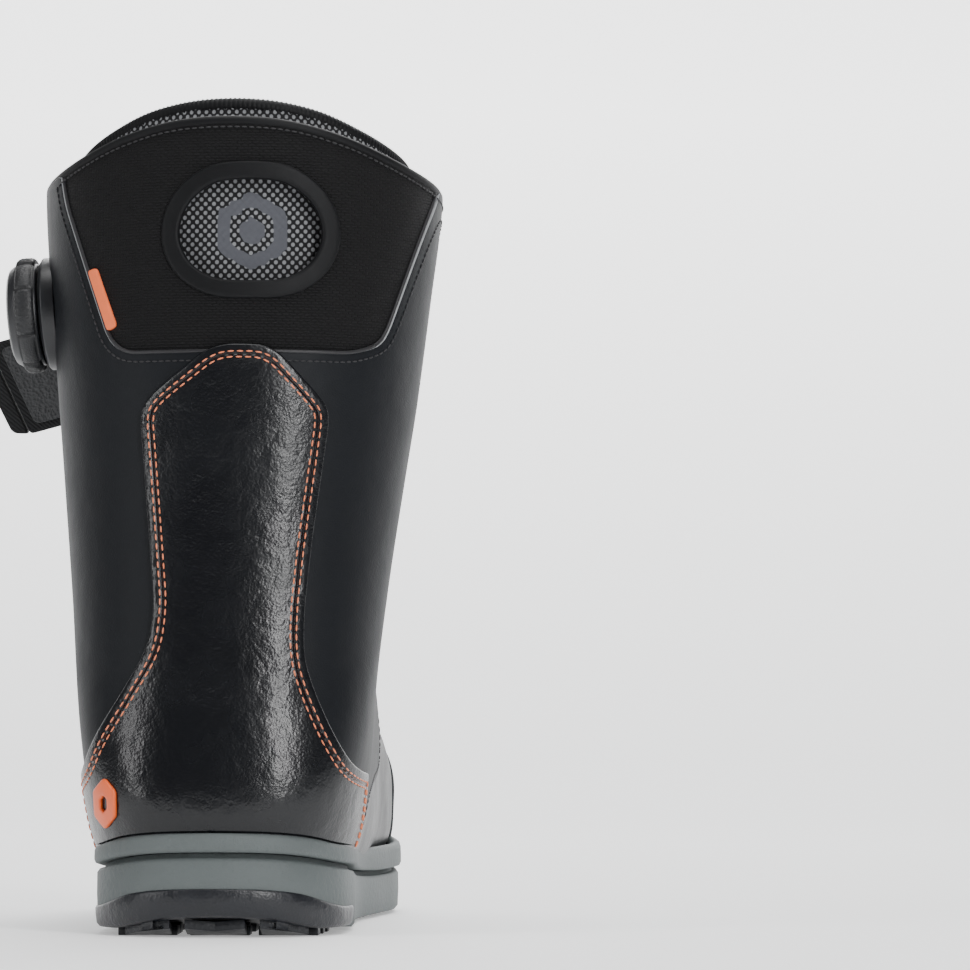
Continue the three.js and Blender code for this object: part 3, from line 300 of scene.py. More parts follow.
sole_points = [
    (0, -149), (27, -142), (42, -124), (46.6, -100), (45, -52), (45, -12), (50.5, 35), (54, 70),
    (51.5, 100), (42, 127), (24, 143.5), (0, 149), (-25, 143.5), (-45, 127), (-55.5, 100), (-58, 66),
    (-55, 30), (-48, -12), (-46, -52), (-46.6, -100), (-42, -124), (-27, -142),
]
sole_outline = smooth_loop(sole_points, 2.5)
band_top_line = smooth_line([
    (-160, 37.5), (-149, 37.2), (-138, 35.5), (-122, 32.6), (-100, 31), (-40, 28.5), (20, 27.5),
    (90, 28.5), (120, 31), (140, 36), (160, 40),
])
groove_line = smooth_line([
    (-160, 29.8), (-149, 29.4), (-138, 27.8), (-122, 25.4), (-100, 23.8), (-40, 20), (20, 17.5),
    (90, 18), (120, 20), (140, 24), (160, 27),
])
tread_line = smooth_line([
    (-165, 9.5), (-149, 5.4), (-138, 1.6), (-128, 0), (-118, 0), (0, 0), (84, 0), (94, 0.2),
    (112, 2), (130, 5), (149, 9.6), (165, 14),
])
pad_top_line = smooth_line([
    (-165, 18.4), (-149, 17.6), (-140, 15.6), (-130, 12.4), (-120, 10.6), (-100, 10), (-60, 10),
])


def height(line, y):
    return np.interp(y, line[:, 0], np.maximum(line[:, 1], 0))


def stack_rings(name, rings, material, body, stands_for, closed=True):
    """A body built up ring on ring: each ring is bridged to the next, and the first and last are filled."""
    bm = bmesh.new()
    loops = []
    for ring in rings:
        verts = [bm.verts.new(Vector(p) * MM) for p in ring]
        loops.append([bm.edges.new((a, b)) for a, b in zip(verts, verts[1:] + verts[:1])])
    for lower, upper in zip(loops, loops[1:]):
        bmesh.ops.bridge_loops(bm, edges=lower + upper)
    for end in (loops[0], loops[-1]) if closed else ():
        bmesh.ops.triangle_fill(bm, edges=end, use_beauty=True)
    bmesh.ops.recalc_face_normals(bm, faces=bm.faces)
    return put(add_object(name, bm, material), body, stands_for)


def sole_ring(inset, z, outline=sole_outline):
    """The sole's outline drawn in by inset, at heights that a function of y gives."""
    flat = grow_loop(outline, -inset)
    return np.column_stack([flat, z(outline[:, 1])])


midsole_foam = finish(
    "midsole_foam", (0.098, 0.113, 0.113), 0.6, Specular_IOR_Level=0.35, mottle=0.14, mottle_size=30,
    grains=[("noise", 2.2, 0.35), ("noise", 0.6, 0.12)],
)
tread_rubber = finish(
    "tread_rubber", (0.006, 0.007, 0.0105), 0.4, mottle=0.3, mottle_size=8,
    grains=[("noise", 3.5, 0.35), ("cells", 0.9, 0.08)], wear=0.14,
)
lower_top = lambda y: height(groove_line, y) - 0.9
under = lambda y: height(tread_line, y) + 1.4 + 4 * np.clip((-88 - y) / 8, 0, 1)
stack_rings("midsole_foam_body", [
    sole_ring(6, under), sole_ring(1.4, under), sole_ring(0.3, lambda y: under(y) + 1.3),
    sole_ring(0, lambda y: (under(y) + lower_top(y)) / 2),
    sole_ring(0.1, lambda y: lower_top(y) - 1.5), sole_ring(0.9, lambda y: lower_top(y) - 0.3),
    sole_ring(2.2, lower_top), sole_ring(3.0, lower_top),
    sole_ring(3.0, lambda y: lower_top(y) + 1.5), sole_ring(6, lambda y: lower_top(y) + 1.5),
], midsole_foam, "shell", "midsole")

band_low = lambda y: height(groove_line, y) + 0.9
band_high = lambda y: height(band_top_line, y)
share = lambda t: lambda y: band_low(y) * (1 - t) + band_high(y) * t
stack_rings("rand_foam_body", [
    sole_ring(4, band_low), sole_ring(0.6, band_low), sole_ring(-0.6, lambda y: band_low(y) + 0.4),
    sole_ring(-1.0, lambda y: band_low(y) + 1.4), sole_ring(-1.0, share(0.45)),
    sole_ring(-0.9, share(0.75)), sole_ring(-0.4, share(0.92)), sole_ring(0.5, share(0.99)),
    sole_ring(1.6, share(1.0)), sole_ring(2.8, share(0.96)), sole_ring(3.6, share(0.8)),
], midsole_foam, "shell", "rand", closed=False)


def pad_ring(inset, z):
    """The heel pad's plan: the whole heel at the back, drawn in along its sides, cut off in front."""
    flat = grow_loop(sole_outline, -inset)
    side = grow_loop(sole_outline, -inset - 8)
    y = sole_outline[:, 1]
    mix = np.clip((y + 100) / 6, 0, 1)[:, None]
    plan = opened((flat * (1 - mix) + side * mix)[y < -64])
    return np.column_stack([plan, z(plan[:, 1])])


pad_low = lambda y: height(tread_line, y) + 2.6
pad_high = lambda y: height(pad_top_line, y)
stack_rings("heel_tread_plate", [
    pad_ring(2.5, pad_low), pad_ring(0.8, lambda y: pad_low(y) + 0.2),
    pad_ring(-0.1, lambda y: pad_low(y) + 1.2),
    pad_ring(-0.5, lambda y: pad_low(y) * 0.4 + pad_high(y) * 0.6),
    pad_ring(-0.6, lambda y: pad_high(y) - 1.0), pad_ring(-0.2, lambda y: pad_high(y) - 0.2),
    pad_ring(1.2, pad_high), pad_ring(2.4, lambda y: pad_high(y) - 0.5),
], tread_rubber, "shell", ())


def tread_blocks(name, first_y, last_y, rows, pitch_x, inset, stands_for):
    """Rows of three chevron blocks, kept inside the sole's outline, with softened edges."""
    bm = bmesh.new()
    pitch_y = (last_y - first_y) / (rows - 1)
    half = {s: np.array(sorted((p[1], p[0]) for p in sole_outline if p[0] * s > -0.5)) for s in (-1, 1)}
    for row in range(rows):
        for column in (-1, 0, 1):
            x, y = column * pitch_x, first_y + row * pitch_y
            w, l = (pitch_x - 4.5) / 2, (pitch_y - 4.5) / 2
            s = l * 0.6
            bend = 0.9 * math.sin(row * 2.3 + column * 1.7)
            base = []
            for a, b in [(-w, -l - s), (0, -l), (w, -l - s), (w, l - s), (0, l), (-w, l - s)]:
                px, py = x + a + bend, y + b + s / 2
                limits = [np.interp(py, half[k][:, 0], half[k][:, 1]) for k in (-1, 1)]
                py = max(py, -143)
                base.append(bm.verts.new((min(max(px, limits[0] + inset), limits[1] - inset), py,
                                          height(tread_line, py))))
            block = bm.faces.new(base)
            grown = bmesh.ops.extrude_face_region(bm, geom=[block])["geom"]
            for vert in (g for g in grown if isinstance(g, bmesh.types.BMVert)):
                vert.co.z += 3.4
    bmesh.ops.recalc_face_normals(bm, faces=bm.faces)
    bmesh.ops.bevel(bm, geom=bm.edges[:], offset=0.7, segments=2, profile=0.5, affect="EDGES", material=-1,
                    clamp_overlap=True)
    bmesh.ops.scale(bm, vec=(MM, MM, MM), verts=bm.verts)
    put(add_object(name, bm, tread_rubber), "shell", stands_for)


tread_blocks("heel_tread_blocks", -136, -77, 5, 26, 4, "heel_outsole")
tread_blocks("forefoot_tread_blocks", -2, 130, 8, 31, 6, "forefoot_outsole")

fore_plan = opened(sole_outline[sole_outline[:, 1] > -14])
fore_ring = lambda inset, rise: np.column_stack([
    grow_loop(fore_plan, -5 - inset), height(tread_line, fore_plan[:, 1]) + rise])
stack_rings("forefoot_tread_plate", [fore_ring(1, 2.8), fore_ring(0, 3.2), fore_ring(0, 5.4),
                                     fore_ring(0.6, 6)],
            tread_rubber, "shell", ())
shank_board = finish("shank_board", (0.26, 0.2, 0.12), 0.8, mottle=0.2, mottle_size=3,
                     grains=[("noise", 0.4, 0.1)])
coat("shank", shank_board)

# ---------------------------------------------------------------- lining
# The boot is built on a last, and every layer of the upper is a skin at its own height over it.
# The innermost layer is a black brushed lining, which all the panels are sewn to.

# Slices of the last: front y, z, back y, z, half width, centre x, roundness in front and behind.
last_slices = np.array([
    (143, 39, 143, 28, 8, -1, 2, 2), (139, 51, 140, 19, 24, -1.5, 2.1, 2.4),
    (129, 63, 132, 15, 36.5, -1.5, 2.2, 2.8), (112, 73.5, 117, 12.8, 45.5, -1.5, 2.3, 3.2),
    (88, 82, 94, 12, 50.5, -1.5, 2.4, 3.4), (61, 91, 63, 12, 51, -1.5, 2.5, 3.6),
    (38, 104, 27, 12, 48.6, -1, 2.5, 3.8), (18, 121, -12, 12, 48.6, 0, 2.5, 4),
    (6, 140, -60, 12, 49, 0, 2.5, 3.6), (0, 158, -114, 12, 50.6, 0, 2.4, 3.2),
    (-2, 173, -144, 38, 53.2, 0, 2.4, 2.7), (-3, 187, -140, 84, 57, 0.4, 2.3, 2.3),
    (-2, 203, -135.5, 124, 60.7, 1.1, 2.2, 2.15), (-1, 222, -132.5, 165, 64.5, 2.1, 2.2, 2.1),
    (1, 247, -131, 215, 68.5, 2.9, 2.2, 2.1), (4, 276, -130, 262, 72, 3.8, 2.2, 2.1),
    (8, 312, -129, 314, 72, 4, 2.2, 2.1),
], float)
last_floor = 12
rise_run, turn_run = 736, 75  # about how many millimetres one unit of u, and of v, spans
back_limit = -50  # what is cut as seen from the back lies behind this y


def on_slices(u, v, inset=0.0):
    """Points of the last on slices u at angles v: 0 in front, pi behind, the medial side between."""
    front, back = spline(last_slices[:, 0:2], u), spline(last_slices[:, 2:4], u)
    girth, roundness = spline(last_slices[:, 4:6], u, 0.0), spline(last_slices[:, 6:8], u, 0.0)
    back[:, 1] = np.maximum(back[:, 1], last_floor)
    power = 2 / np.where(np.cos(v) > 0, roundness[:, 0], roundness[:, 1])
    along = np.sign(np.cos(v)) * np.abs(np.cos(v)) ** power
    across = np.sign(np.sin(v)) * np.abs(np.sin(v)) ** power
    middle, half = (front + back) / 2, (front - back) / 2
    shut = np.sqrt(np.maximum(0, 1 - np.clip(-u / 0.03, 0, 1) ** 2))
    shrink = np.maximum(0.1, 1 - inset / np.linalg.norm(half, axis=1)) * shut
    width = np.maximum(0.1 * girth[:, 0], girth[:, 0] - inset) * shut
    return np.column_stack([
        girth[:, 1] + across * width,
        middle[:, 0] + along * half[:, 0] * shrink + (1 - shut) * 2.5,
        middle[:, 1] + along * half[:, 1] * shrink,
    ])


def facing(u, v):
    """Outward normals of the last."""
    step_u, step_v = 0.004, 0.02
    along_u = on_slices(u + step_u, v) - on_slices(u - step_u, v)
    along_v = on_slices(u, v + step_v) - on_slices(u, v - step_v)
    normal = np.cross(along_u, along_v)
    return normal / np.maximum(np.linalg.norm(normal, axis=1), 1e-9)[:, None]


def on_last(u, v, off):
    return on_slices(u, v) + facing(u, v) * np.reshape(off, (-1, 1))


def under_skin(u, v, off):
    """A layer inside the last, drawn in evenly."""
    return on_slices(u, v, -off)


def within(points, loop):
    """How far flat points stand inside a closed loop, in millimetres: negative outside it."""
    best, odd = np.full(len(points), 1e9), np.zeros(len(points), bool)
    for a, b in zip(loop, np.roll(loop, -1, 0)):
        run = b - a
        t = np.clip(((points - a) @ run) / max(run @ run, 1e-12), 0, 1)
        best = np.minimum(best, np.linalg.norm(points - a - t[:, None] * run, axis=1))
        if a[1] != b[1]:
            odd ^= ((points[:, 1] < a[1]) != (points[:, 1] < b[1])) & (
                points[:, 0] < a[0] + (points[:, 1] - a[1]) * (b[0] - a[0]) / (b[1] - a[1]))
    return np.where(odd, best, -best)


def rounded(points, radius):
    """A closed loop of straight runs with its corners rounded."""
    p = np.asarray(points, float)
    out = []
    for before, at, after in zip(np.roll(p, 1, 0), p, np.roll(p, -1, 0)):
        a = at + (before - at) * min(0.45, radius / np.linalg.norm(before - at))
        b = at + (after - at) * min(0.45, radius / np.linalg.norm(after - at))
        t = np.linspace(0, 1, 6)[:, None]
        out.append((1 - t) ** 2 * a + 2 * t * (1 - t) * at + t ** 2 * b)
    return np.vstack(out)


def seen_from_back(loop):
    return lambda p: np.minimum(within(p[:, [0, 2]], loop), back_limit - p[:, 1])


def seen_from_side(loop):
    return lambda p: within(p[:, 1:], loop)


def skin_panel(name, region, u_span, v_span, low, high, material, body="shell", stands_for=(),
               cell=2.0, rim=0.5, relief=None, place=on_last, joined=False, hang=True):
    """A sheet that follows the last between the heights low and high, wherever region is positive.
    A grid is drawn to the region's edge, and its rim is rounded over and closed underneath."""
    rows = int((u_span[1] - u_span[0]) * rise_run / cell) + 2
    slices = np.linspace(*u_span, rows)
    fine = np.linspace(*v_span, 361)
    lengths = [run_of(on_slices(np.full(len(fine), u), fine)) for u in slices]
    columns = int(max(one[-1] for one in lengths) / cell) + 2
    v = np.array([np.interp(np.linspace(0, one[-1], columns), one, fine) for one in lengths])
    arc = np.array([np.linspace(-one[-1] / 2, one[-1] / 2, columns) for one in lengths])
    u = np.repeat(slices[:, None], columns, 1)
    halfway = (low + high) / 2
    inside = region(place(u.ravel(), v.ravel(), halfway)).reshape(u.shape)
    nearest, edge_u, edge_v = np.ones(u.shape), u.copy(), v.copy()
    for down, right in ((1, 0), (0, 1)):
        i, j = np.nonzero((inside[:rows - down, :columns - right] >= 0) != (inside[down:, right:] >= 0))
        if not len(i):
            continue
        k, m = i + down, j + right
        starts_in, near, far = inside[i, j] >= 0, np.zeros(len(i)), np.ones(len(i))
        for _ in range(10):
            t = (near + far) / 2
            here = place(u[i, j] + (u[k, m] - u[i, j]) * t, v[i, j] + (v[k, m] - v[i, j]) * t, halfway)
            held = (region(here) >= 0) == starts_in
            near, far = np.where(held, t, near), np.where(held, far, t)
        for one_i, one_j, gap in ((i, j, t), (k, m, 1 - t)):
            take = (gap <= 0.5) & (gap < nearest[one_i, one_j])
            at = one_i[take], one_j[take]
            nearest[at] = gap[take]
            edge_u[at] = (u[i, j] + (u[k, m] - u[i, j]) * t)[take]
            edge_v[at] = (v[i, j] + (v[k, m] - v[i, j]) * t)[take]
    u, v = edge_u, edge_v
    inside[nearest < 1] = 0
    u, v, inside, arc = u.ravel(), v.ravel(), inside.ravel(), arc.ravel()
    lift = np.full(len(u), float(high))
    if relief is not None:
        lift = lift + relief(np.maximum(inside, 0), place(u, v, high))
    normal = facing(np.maximum(u, 0.002), v)
    top, below = place(u, v, lift) * MM, place(u, v, low) * MM

    bm = bmesh.new()
    bmesh.ops.create_grid(bm, x_segments=columns - 1, y_segments=rows - 1, size=0.5)
    seat = bm.verts.layers.int.new("seat")
    edge_layer = bm.verts.layers.float.new("edge")
    bm.verts.ensure_lookup_table()
    for vert in bm.verts:
        i = round((vert.co.y + 0.5) * (rows - 1)) * columns + round((vert.co.x + 0.5) * (columns - 1))
        vert[seat] = i
        vert[edge_layer] = min(max(inside[i], 0), 20)
    out = [vert for vert in bm.verts if inside[vert[seat]] < 0]
    gone = set(out)
    for face in bm.faces[:]:
        lost = [k for k, vert in enumerate(face.verts) if vert in gone]
        if len(lost) == 1 and len(face.verts) == 4:
            k = lost[0]
            bmesh.utils.face_split(face, face.verts[k - 1], face.verts[(k + 1) % 4])
    bmesh.ops.delete(bm, geom=out, context="VERTS")
    bmesh.ops.delete(bm, geom=[vert for vert in bm.verts if not vert.link_faces], context="VERTS")
    for vert in bm.verts:
        vert.co = Vector(top[vert[seat]])
    tiny = 0.14 * (cell * MM) ** 2
    slivers = [f for f in bm.faces if f.calc_area() < tiny and all(inside[x[seat]] == 0 for x in f.verts)]
    bmesh.ops.delete(bm, geom=slivers, context="FACES")
    bmesh.ops.delete(bm, geom=[vert for vert in bm.verts if not vert.link_faces], context="VERTS")
    bm.normal_update()
    faces = bm.faces[:]
    if sum(f.normal.dot(Vector(normal[f.verts[0][seat]])) for f in faces[::7]) < 0:
        bmesh.ops.reverse_faces(bm, faces=faces)
    if joined:
        bmesh.ops.remove_doubles(bm, verts=bm.verts, dist=0.00012)
    cloth = bm.loops.layers.uv.new("cloth")
    for face in bm.faces:
        for loop in face.loops:
            i = loop.vert[seat]
            loop[cloth].uv = (arc[i] * MM, top[i][2])
    sides = {}
    rim_edges = [e for e in bm.edges if e.is_boundary]
    for edge in rim_edges:
        run = edge.verts[1].co - edge.verts[0].co
        away = (edge.verts[0].co + edge.verts[1].co) / 2 - edge.link_faces[0].calc_center_median()
        side = run.cross(Vector(normal[edge.verts[0][seat]]))
        side = side if side.dot(away) > 0 else -side
        if side.length > 1e-9:
            for vert in edge.verts:
                sides[vert[seat]] = sides.get(vert[seat], Vector()) + side.normalized()
    under = bmesh.ops.duplicate(bm, geom=bm.faces[:])["geom"]
    for item in under:
        if isinstance(item, bmesh.types.BMVert):
            item.co = Vector(below[item[seat]])
        elif isinstance(item, bmesh.types.BMFace):
            item.material_index = 1 if isinstance(material, list) else 0
    bmesh.ops.reverse_faces(bm, faces=[g for g in under if isinstance(g, bmesh.types.BMFace)])
    depth = (high - low) / rim
    for ring, (reach, drop) in enumerate(((0.7, 0.3), (1.0, 1.0), (1.0, depth * 0.85), (0.0, None))):
        made = bmesh.ops.extrude_edge_only(bm, edges=rim_edges)["geom"]
        rim_edges = [g for g in made if isinstance(g, bmesh.types.BMEdge)]
        for face in (g for g in made if isinstance(g, bmesh.types.BMFace)):
            face.material_index = 1 if isinstance(material, list) else 0
            fresh = {vert for edge in face.edges if edge.is_boundary for vert in edge.verts}
            for loop in face.loops:
                loop[cloth].uv.y = top[loop.vert[seat]][2] + (ring + (loop.vert in fresh)) * rim * 0.8 * MM
        for vert in {vert for edge in rim_edges for vert in edge.verts}:
            i = vert[seat]
            side = sides.get(i, Vector((0, 0, 0)))
            side = side.normalized() if side.length > 1e-9 else side
            if drop is None:
                vert.co = Vector(below[i])
            else:
                vert.co = Vector(top[i]) + (side * reach - Vector(normal[i]) * drop) * rim * MM
    bmesh.ops.remove_doubles(bm, verts=bm.verts, dist=0.000004)
    bmesh.ops.recalc_face_normals(bm, faces=bm.faces)
    obj = add_object(name, bm, material)
    return put(obj, body, stands_for) if hang else obj


def above(line, shift=0.0):
    return lambda p: p[:, 2] - height(line, p[:, 1]) - shift


def below_line(line, shift=0.0):
    return lambda p: height(line, p[:, 1]) + shift - p[:, 2]


def outside(region):
    return lambda p: -region(p)


def both(*regions):
    return lambda p: np.minimum.reduce([one(p) for one in regions])


collar_line = smooth_line([
    (-170, 296), (-150, 296), (-133, 294.5), (-122, 288), (-110, 281.5), (-96, 276.5),
    (-75, 272.5), (-45, 270), (0, 268), (170, 268),
])
throat_lean = math.radians(20)
throat_up = np.array((0, -math.sin(throat_lean), math.cos(throat_lean)))
throat_out = np.array((0, math.cos(throat_lean), math.sin(throat_lean)))
throat_root = np.array((0, -30, 130))
throat_half = (19, 30)
throat_foot, throat_head = -62, 190


def throat(grow=0.0):
    """The opening over the instep: a U seen along a line that leans back, wider by grow all round."""
    arc = np.linspace(math.pi, 2 * math.pi, 24)
    low = throat_half[0] + grow
    loop = np.vstack([
        np.column_stack([low * np.cos(arc), throat_foot + throat_half[0] + low * np.sin(arc)]),
        [(throat_half[1] + grow, throat_head), (-throat_half[1] - grow, throat_head)],
    ])

    def region(p):
        from_root = p - throat_root
        return np.minimum(within(np.column_stack([p[:, 0], from_root @ throat_up]), loop),
                          from_root @ throat_out)
    return region


window_loop = smooth_loop(step=3, points=np.array([
    (0, 19.4), (14, 17.4), (23.6, 9.4), (26.8, -2), (22.5, -12.4), (13, -18.4), (0, -19.4),
    (-13, -18.4), (-22.5, -12.4), (-26.8, -2), (-23.6, 9.4), (-14, 17.4),
]) + (11.2, 253.6))
window = lambda grow: seen_from_back(grow_loop(window_loop, grow))
full_turn = (0.0, 2 * math.pi)
front_turn = (-math.pi, math.pi)
back_half = (math.pi / 2, 3 * math.pi / 2)
cuff_turn = (0.35 * math.pi, 1.65 * math.pi)

lining_cloth = finish(
    "lining_cloth", (0.018, 0.018, 0.02), 0.85, mottle=0.25, mottle_size=5,
    grains=[("noise", 0.9, 0.12), ("noise", 0.35, 0.1)], Sheen_Weight=0.25,
)
skin_panel("lining", both(below_line(collar_line), outside(throat()), outside(window(0))), (0.004, 0.99),
           full_turn,
           -2, 0, lining_cloth, stands_for="lining_shell", cell=3.2, rim=0.6,
           joined=True)

# ---------------------------------------------------------------- quarters and vamp
# Two matte coated panels make the sides. Their raw cut edges show pale behind, and a thread row holds
# them down. The vamp in front of them is a softer black leather, sewn under a swept seam.

panel_low, panel_high = 0.3, 1.8
over_low, over_high = 2.1, 3.6
reach_out = 400
band = above(band_top_line, -2.5)


def iso_lines(region, level, u_span, v_span, off, cell=2.0, longest=None):
    """Runs of (u, v) along which a region is level millimetres deep, the longest first."""
    rows = int((u_span[1] - u_span[0]) * rise_run / cell)
    columns = int((v_span[1] - v_span[0]) * turn_run / cell)
    u, v = np.meshgrid(np.linspace(*u_span, rows), np.linspace(*v_span, columns), indexing="ij")
    d = region(on_last(u.ravel(), v.ravel(), off)).reshape(u.shape) - level
    links, spot = {}, {}

    def cross(a, b):
        t = d[a] / (d[a] - d[b])
        key = (a, b)
        spot[key] = (u[a] + t * (u[b] - u[a]), v[a] + t * (v[b] - v[a]))
        return key
    mixed = np.abs(np.sign(d[:-1, :-1]) + np.sign(d[1:, :-1]) + np.sign(d[:-1, 1:]) + np.sign(d[1:, 1:])) < 4
    for i, j in np.argwhere(mixed):
        ring = [((i, j), (i, j + 1)), ((i, j + 1), (i + 1, j + 1)), ((i + 1, j), (i + 1, j + 1)),
                ((i, j), (i + 1, j))]
        cuts = [cross(a, b) for a, b in ring if (d[a] > 0) != (d[b] > 0)]
        if len(cuts) == 2:
            for a, b in (cuts, cuts[::-1]):
                links.setdefault(a, []).append(b)
    runs, seen = [], set()
    for start in sorted(links, key=lambda k: len(links[k])):
        if start in seen:
            continue
        run, at = [], start
        while at is not None:
            seen.add(at)
            run.append(spot[at])
            at = next((n for n in links[at] if n not in seen), None)
        if len(run) > 5:
            if len(links[start]) == 2:
                run.append(spot[start])
            runs.append(np.array(run))
    return sorted(runs, key=len, reverse=True)[:longest]


def stitch_rows(name, routes, off, material, body="shell", pitch=3.35, length=2.6, thick=0.3, rise=0.12):
    """Rows of single stitches that lie on a panel along routes of (u, v)."""
    bm, few = bmesh.new(), bmesh.new()
    batch = bpy.data.meshes.new("batch")

    def gather():
        few.to_mesh(batch)
        bm.from_mesh(batch)
        few.clear()
    for route in routes:
        points, normals = on_last(route[:, 0], route[:, 1], off + rise), facing(route[:, 0], route[:, 1])
        run = run_of(points)
        for at in np.arange(pitch / 2, run[-1] - pitch / 4, pitch):
            here, before, after = (np.array([np.interp(at + k, run, c) for c in points.T])
                                   for k in (0, -0.6, 0.6))
            along = Vector(after - before).normalized()
            out = Vector([np.interp(at, run, c) for c in normals.T]).normalized()
            across = out.cross(along).normalized()
            place = framed(Vector(here) * MM, along * (length / 2) * MM, across * thick * MM,
                           out * thick * MM)
            bmesh.ops.create_uvsphere(few, u_segments=8, v_segments=5, radius=1, matrix=place)
            if len(few.verts) > 900:
                gather()
        gather()
    few.free()
    bpy.data.meshes.remove(batch)
    bmesh.ops.recalc_face_normals(bm, faces=bm.faces)
    return put(add_object(name, bm, material), body)


def tube(name, points, radius, material, body="shell", stands_for=(), sides=12, closed=False,
         hang=True):
    """A round cord along points. Radius is one number, or one for each point."""
    points = np.asarray(points, float)
    radius = np.broadcast_to(radius, len(points))
    tangent = np.gradient(points, axis=0)
    if closed:
        tangent = np.roll(points, -1, 0) - np.roll(points, 1, 0)
    tangent /= np.linalg.norm(tangent, axis=1)[:, None]
    side = np.cross(tangent[0], (0.3, 0.2, 0.93))
    rings = []
    for p, t, r in zip(points, tangent, radius):
        side = side - t * (side @ t)
        side /= np.linalg.norm(side)
        other = np.cross(t, side)
        angle = np.arange(sides) * 2 * math.pi / sides
        rings.append(p + r * (np.cos(angle)[:, None] * side + np.sin(angle)[:, None] * other))
    if closed:
        rings.append(rings[0])
    if hang:
        return stack_rings(name, rings, material, body, stands_for, closed=not closed)
    return rings


mesh_outline = rounded(np.array([
    (-48, 214.5), (-42, 209.5), (40, 209.5), (49, 213), (52, 219), (68, 268), (75, 320), (-75, 320),
    (-66, 266),
]) + (7.5, 0), 5)
mesh_area = lambda grow: seen_from_back(grow_loop(mesh_outline, grow))
seam_line = smooth_line([
    (-72, 5), (-72, 34), (-66, 45), (-40, 52), (0, 58), (16, 68), (18, 90), (13, 112), (6, 130),
])
vamp_loop = lambda shift: np.vstack([seam_line + (shift, -0.6 * shift),
                                     [(40, 132), (reach_out, 132), (reach_out, 5)]])
notch = seen_from_side(rounded([(-22, 133), (0, 127), (60, 112), (60, 146), (0, 140)], 4))
quarter_coat = finish(
    "quarter_coat", (0.0048, 0.0058, 0.0078), 0.52, mottle=0.16, mottle_size=22, wear=0.06,
    Specular_IOR_Level=0.18,
    grains=[("noise", 14, 0.35), ("cells", 0.7, 0.05), ("noise", 0.5, 0.05)],
)
raw_edge = finish("raw_edge", (0.3, 0.31, 0.32), 0.7, mottle=0.3, mottle_size=2,
                  grains=[("noise", 0.5, 0.15)])
vamp_leather = finish(
    "vamp_leather", (0.006, 0.0068, 0.0085), 0.4, Specular_IOR_Level=0.35, mottle=0.2, mottle_size=16,
    grains=[("noise", 18, 0.7), ("cracks", 1.1, 0.08), ("noise", 0.7, 0.06)], wear=0.12,
)
black_thread = finish("black_thread", (0.012, 0.012, 0.014), 0.6, mottle=0.2, mottle_size=1,
                      grains=[("noise", 0.25, 0.08)])

quarter = both(below_line(collar_line), band, outside(mesh_area(0.3)), outside(seen_from_side(vamp_loop(0))),
               outside(notch), outside(throat()))
for side, spread in ((-1, (math.pi, 2 * math.pi)), (1, (0, math.pi))):
    word = "lateral" if side < 0 else "medial"
    one = both(quarter, lambda p, side=side: p[:, 0] * side - (0.3 if side > 0 else 0))
    made = skin_panel(f"quarter_{word}", one, (0.3, 0.99), spread, panel_low, panel_high,
                      [quarter_coat, raw_edge],
                      stands_for=f"quarter_{word}", cell=2.2, rim=0.45)
    for face in made.data.polygons:
        if face.center.z < 0.205 or face.center.y > -0.04:
            face.material_index = 0
vamp = both(seen_from_side(vamp_loop(0.4)), band, outside(notch), outside(throat()))
skin_panel("vamp", vamp, (-0.03, 0.75), front_turn, panel_low - 0.2, panel_high - 0.3, vamp_leather,
           stands_for="vamp",
           cell=2.2, joined=True)
fold_rows = iso_lines(both(mesh_area(3.2), below_line(collar_line, -3)), 0, (0.7, 0.99), cuff_turn,
                      panel_high)
stitch_rows("quarter_back_stitches", fold_rows, panel_high, black_thread, pitch=2.6, length=2.2, thick=0.34)
seam_rows = iso_lines(both(outside(seen_from_side(vamp_loop(0))), band), 2.4, (0.05, 0.75), front_turn,
                      panel_high, longest=4)
stitch_rows("quarter_front_stitches", seam_rows, panel_high, black_thread)

# ---------------------------------------------------------------- collar
# The back of the cuff is a padded knit panel, piped along its edge, with a bound window in it that
# shows the liner. A rolled tape closes the top edge of the cuff.

knit = finish("knit", (0.0055, 0.0054, 0.0062), 0.75, mottle=0.2, mottle_size=9, grains=[("noise", 0.4, 0.1)],
              Sheen_Weight=0.0, Specular_IOR_Level=0.2)
cloth_place = knit.node_tree.nodes["Texture Coordinate"].outputs["UV"]
courses = node_of(knit, "ShaderNodeTexBrick", cloth_place, Scale=1000, Brick_Width=2.6, Row_Height=1.05,
                  Mortar_Size=0.3, Mortar_Smooth=0.9)
add_bump(knit, courses.outputs["Fac"], -0.5)
# Painted shade: the recessed grooves between the knit courses are darkened.
tint(knit, courses.outputs["Fac"], (0.002, 0.002, 0.002), 0.0, 1.3)
binding_tape = finish(
    "binding_tape", (0.004, 0.0042, 0.005), 0.55, mottle=0.15, mottle_size=6, grains=[("noise", 0.5, 0.06)],
    Specular_IOR_Level=0.18)
piping = finish("piping", (0.008, 0.008, 0.01), 0.5, grains=[("noise", 0.6, 0.08)])


def pillow(depth, width):
    return lambda d, p: depth * (1 - np.exp(-d / width)) - 0.2


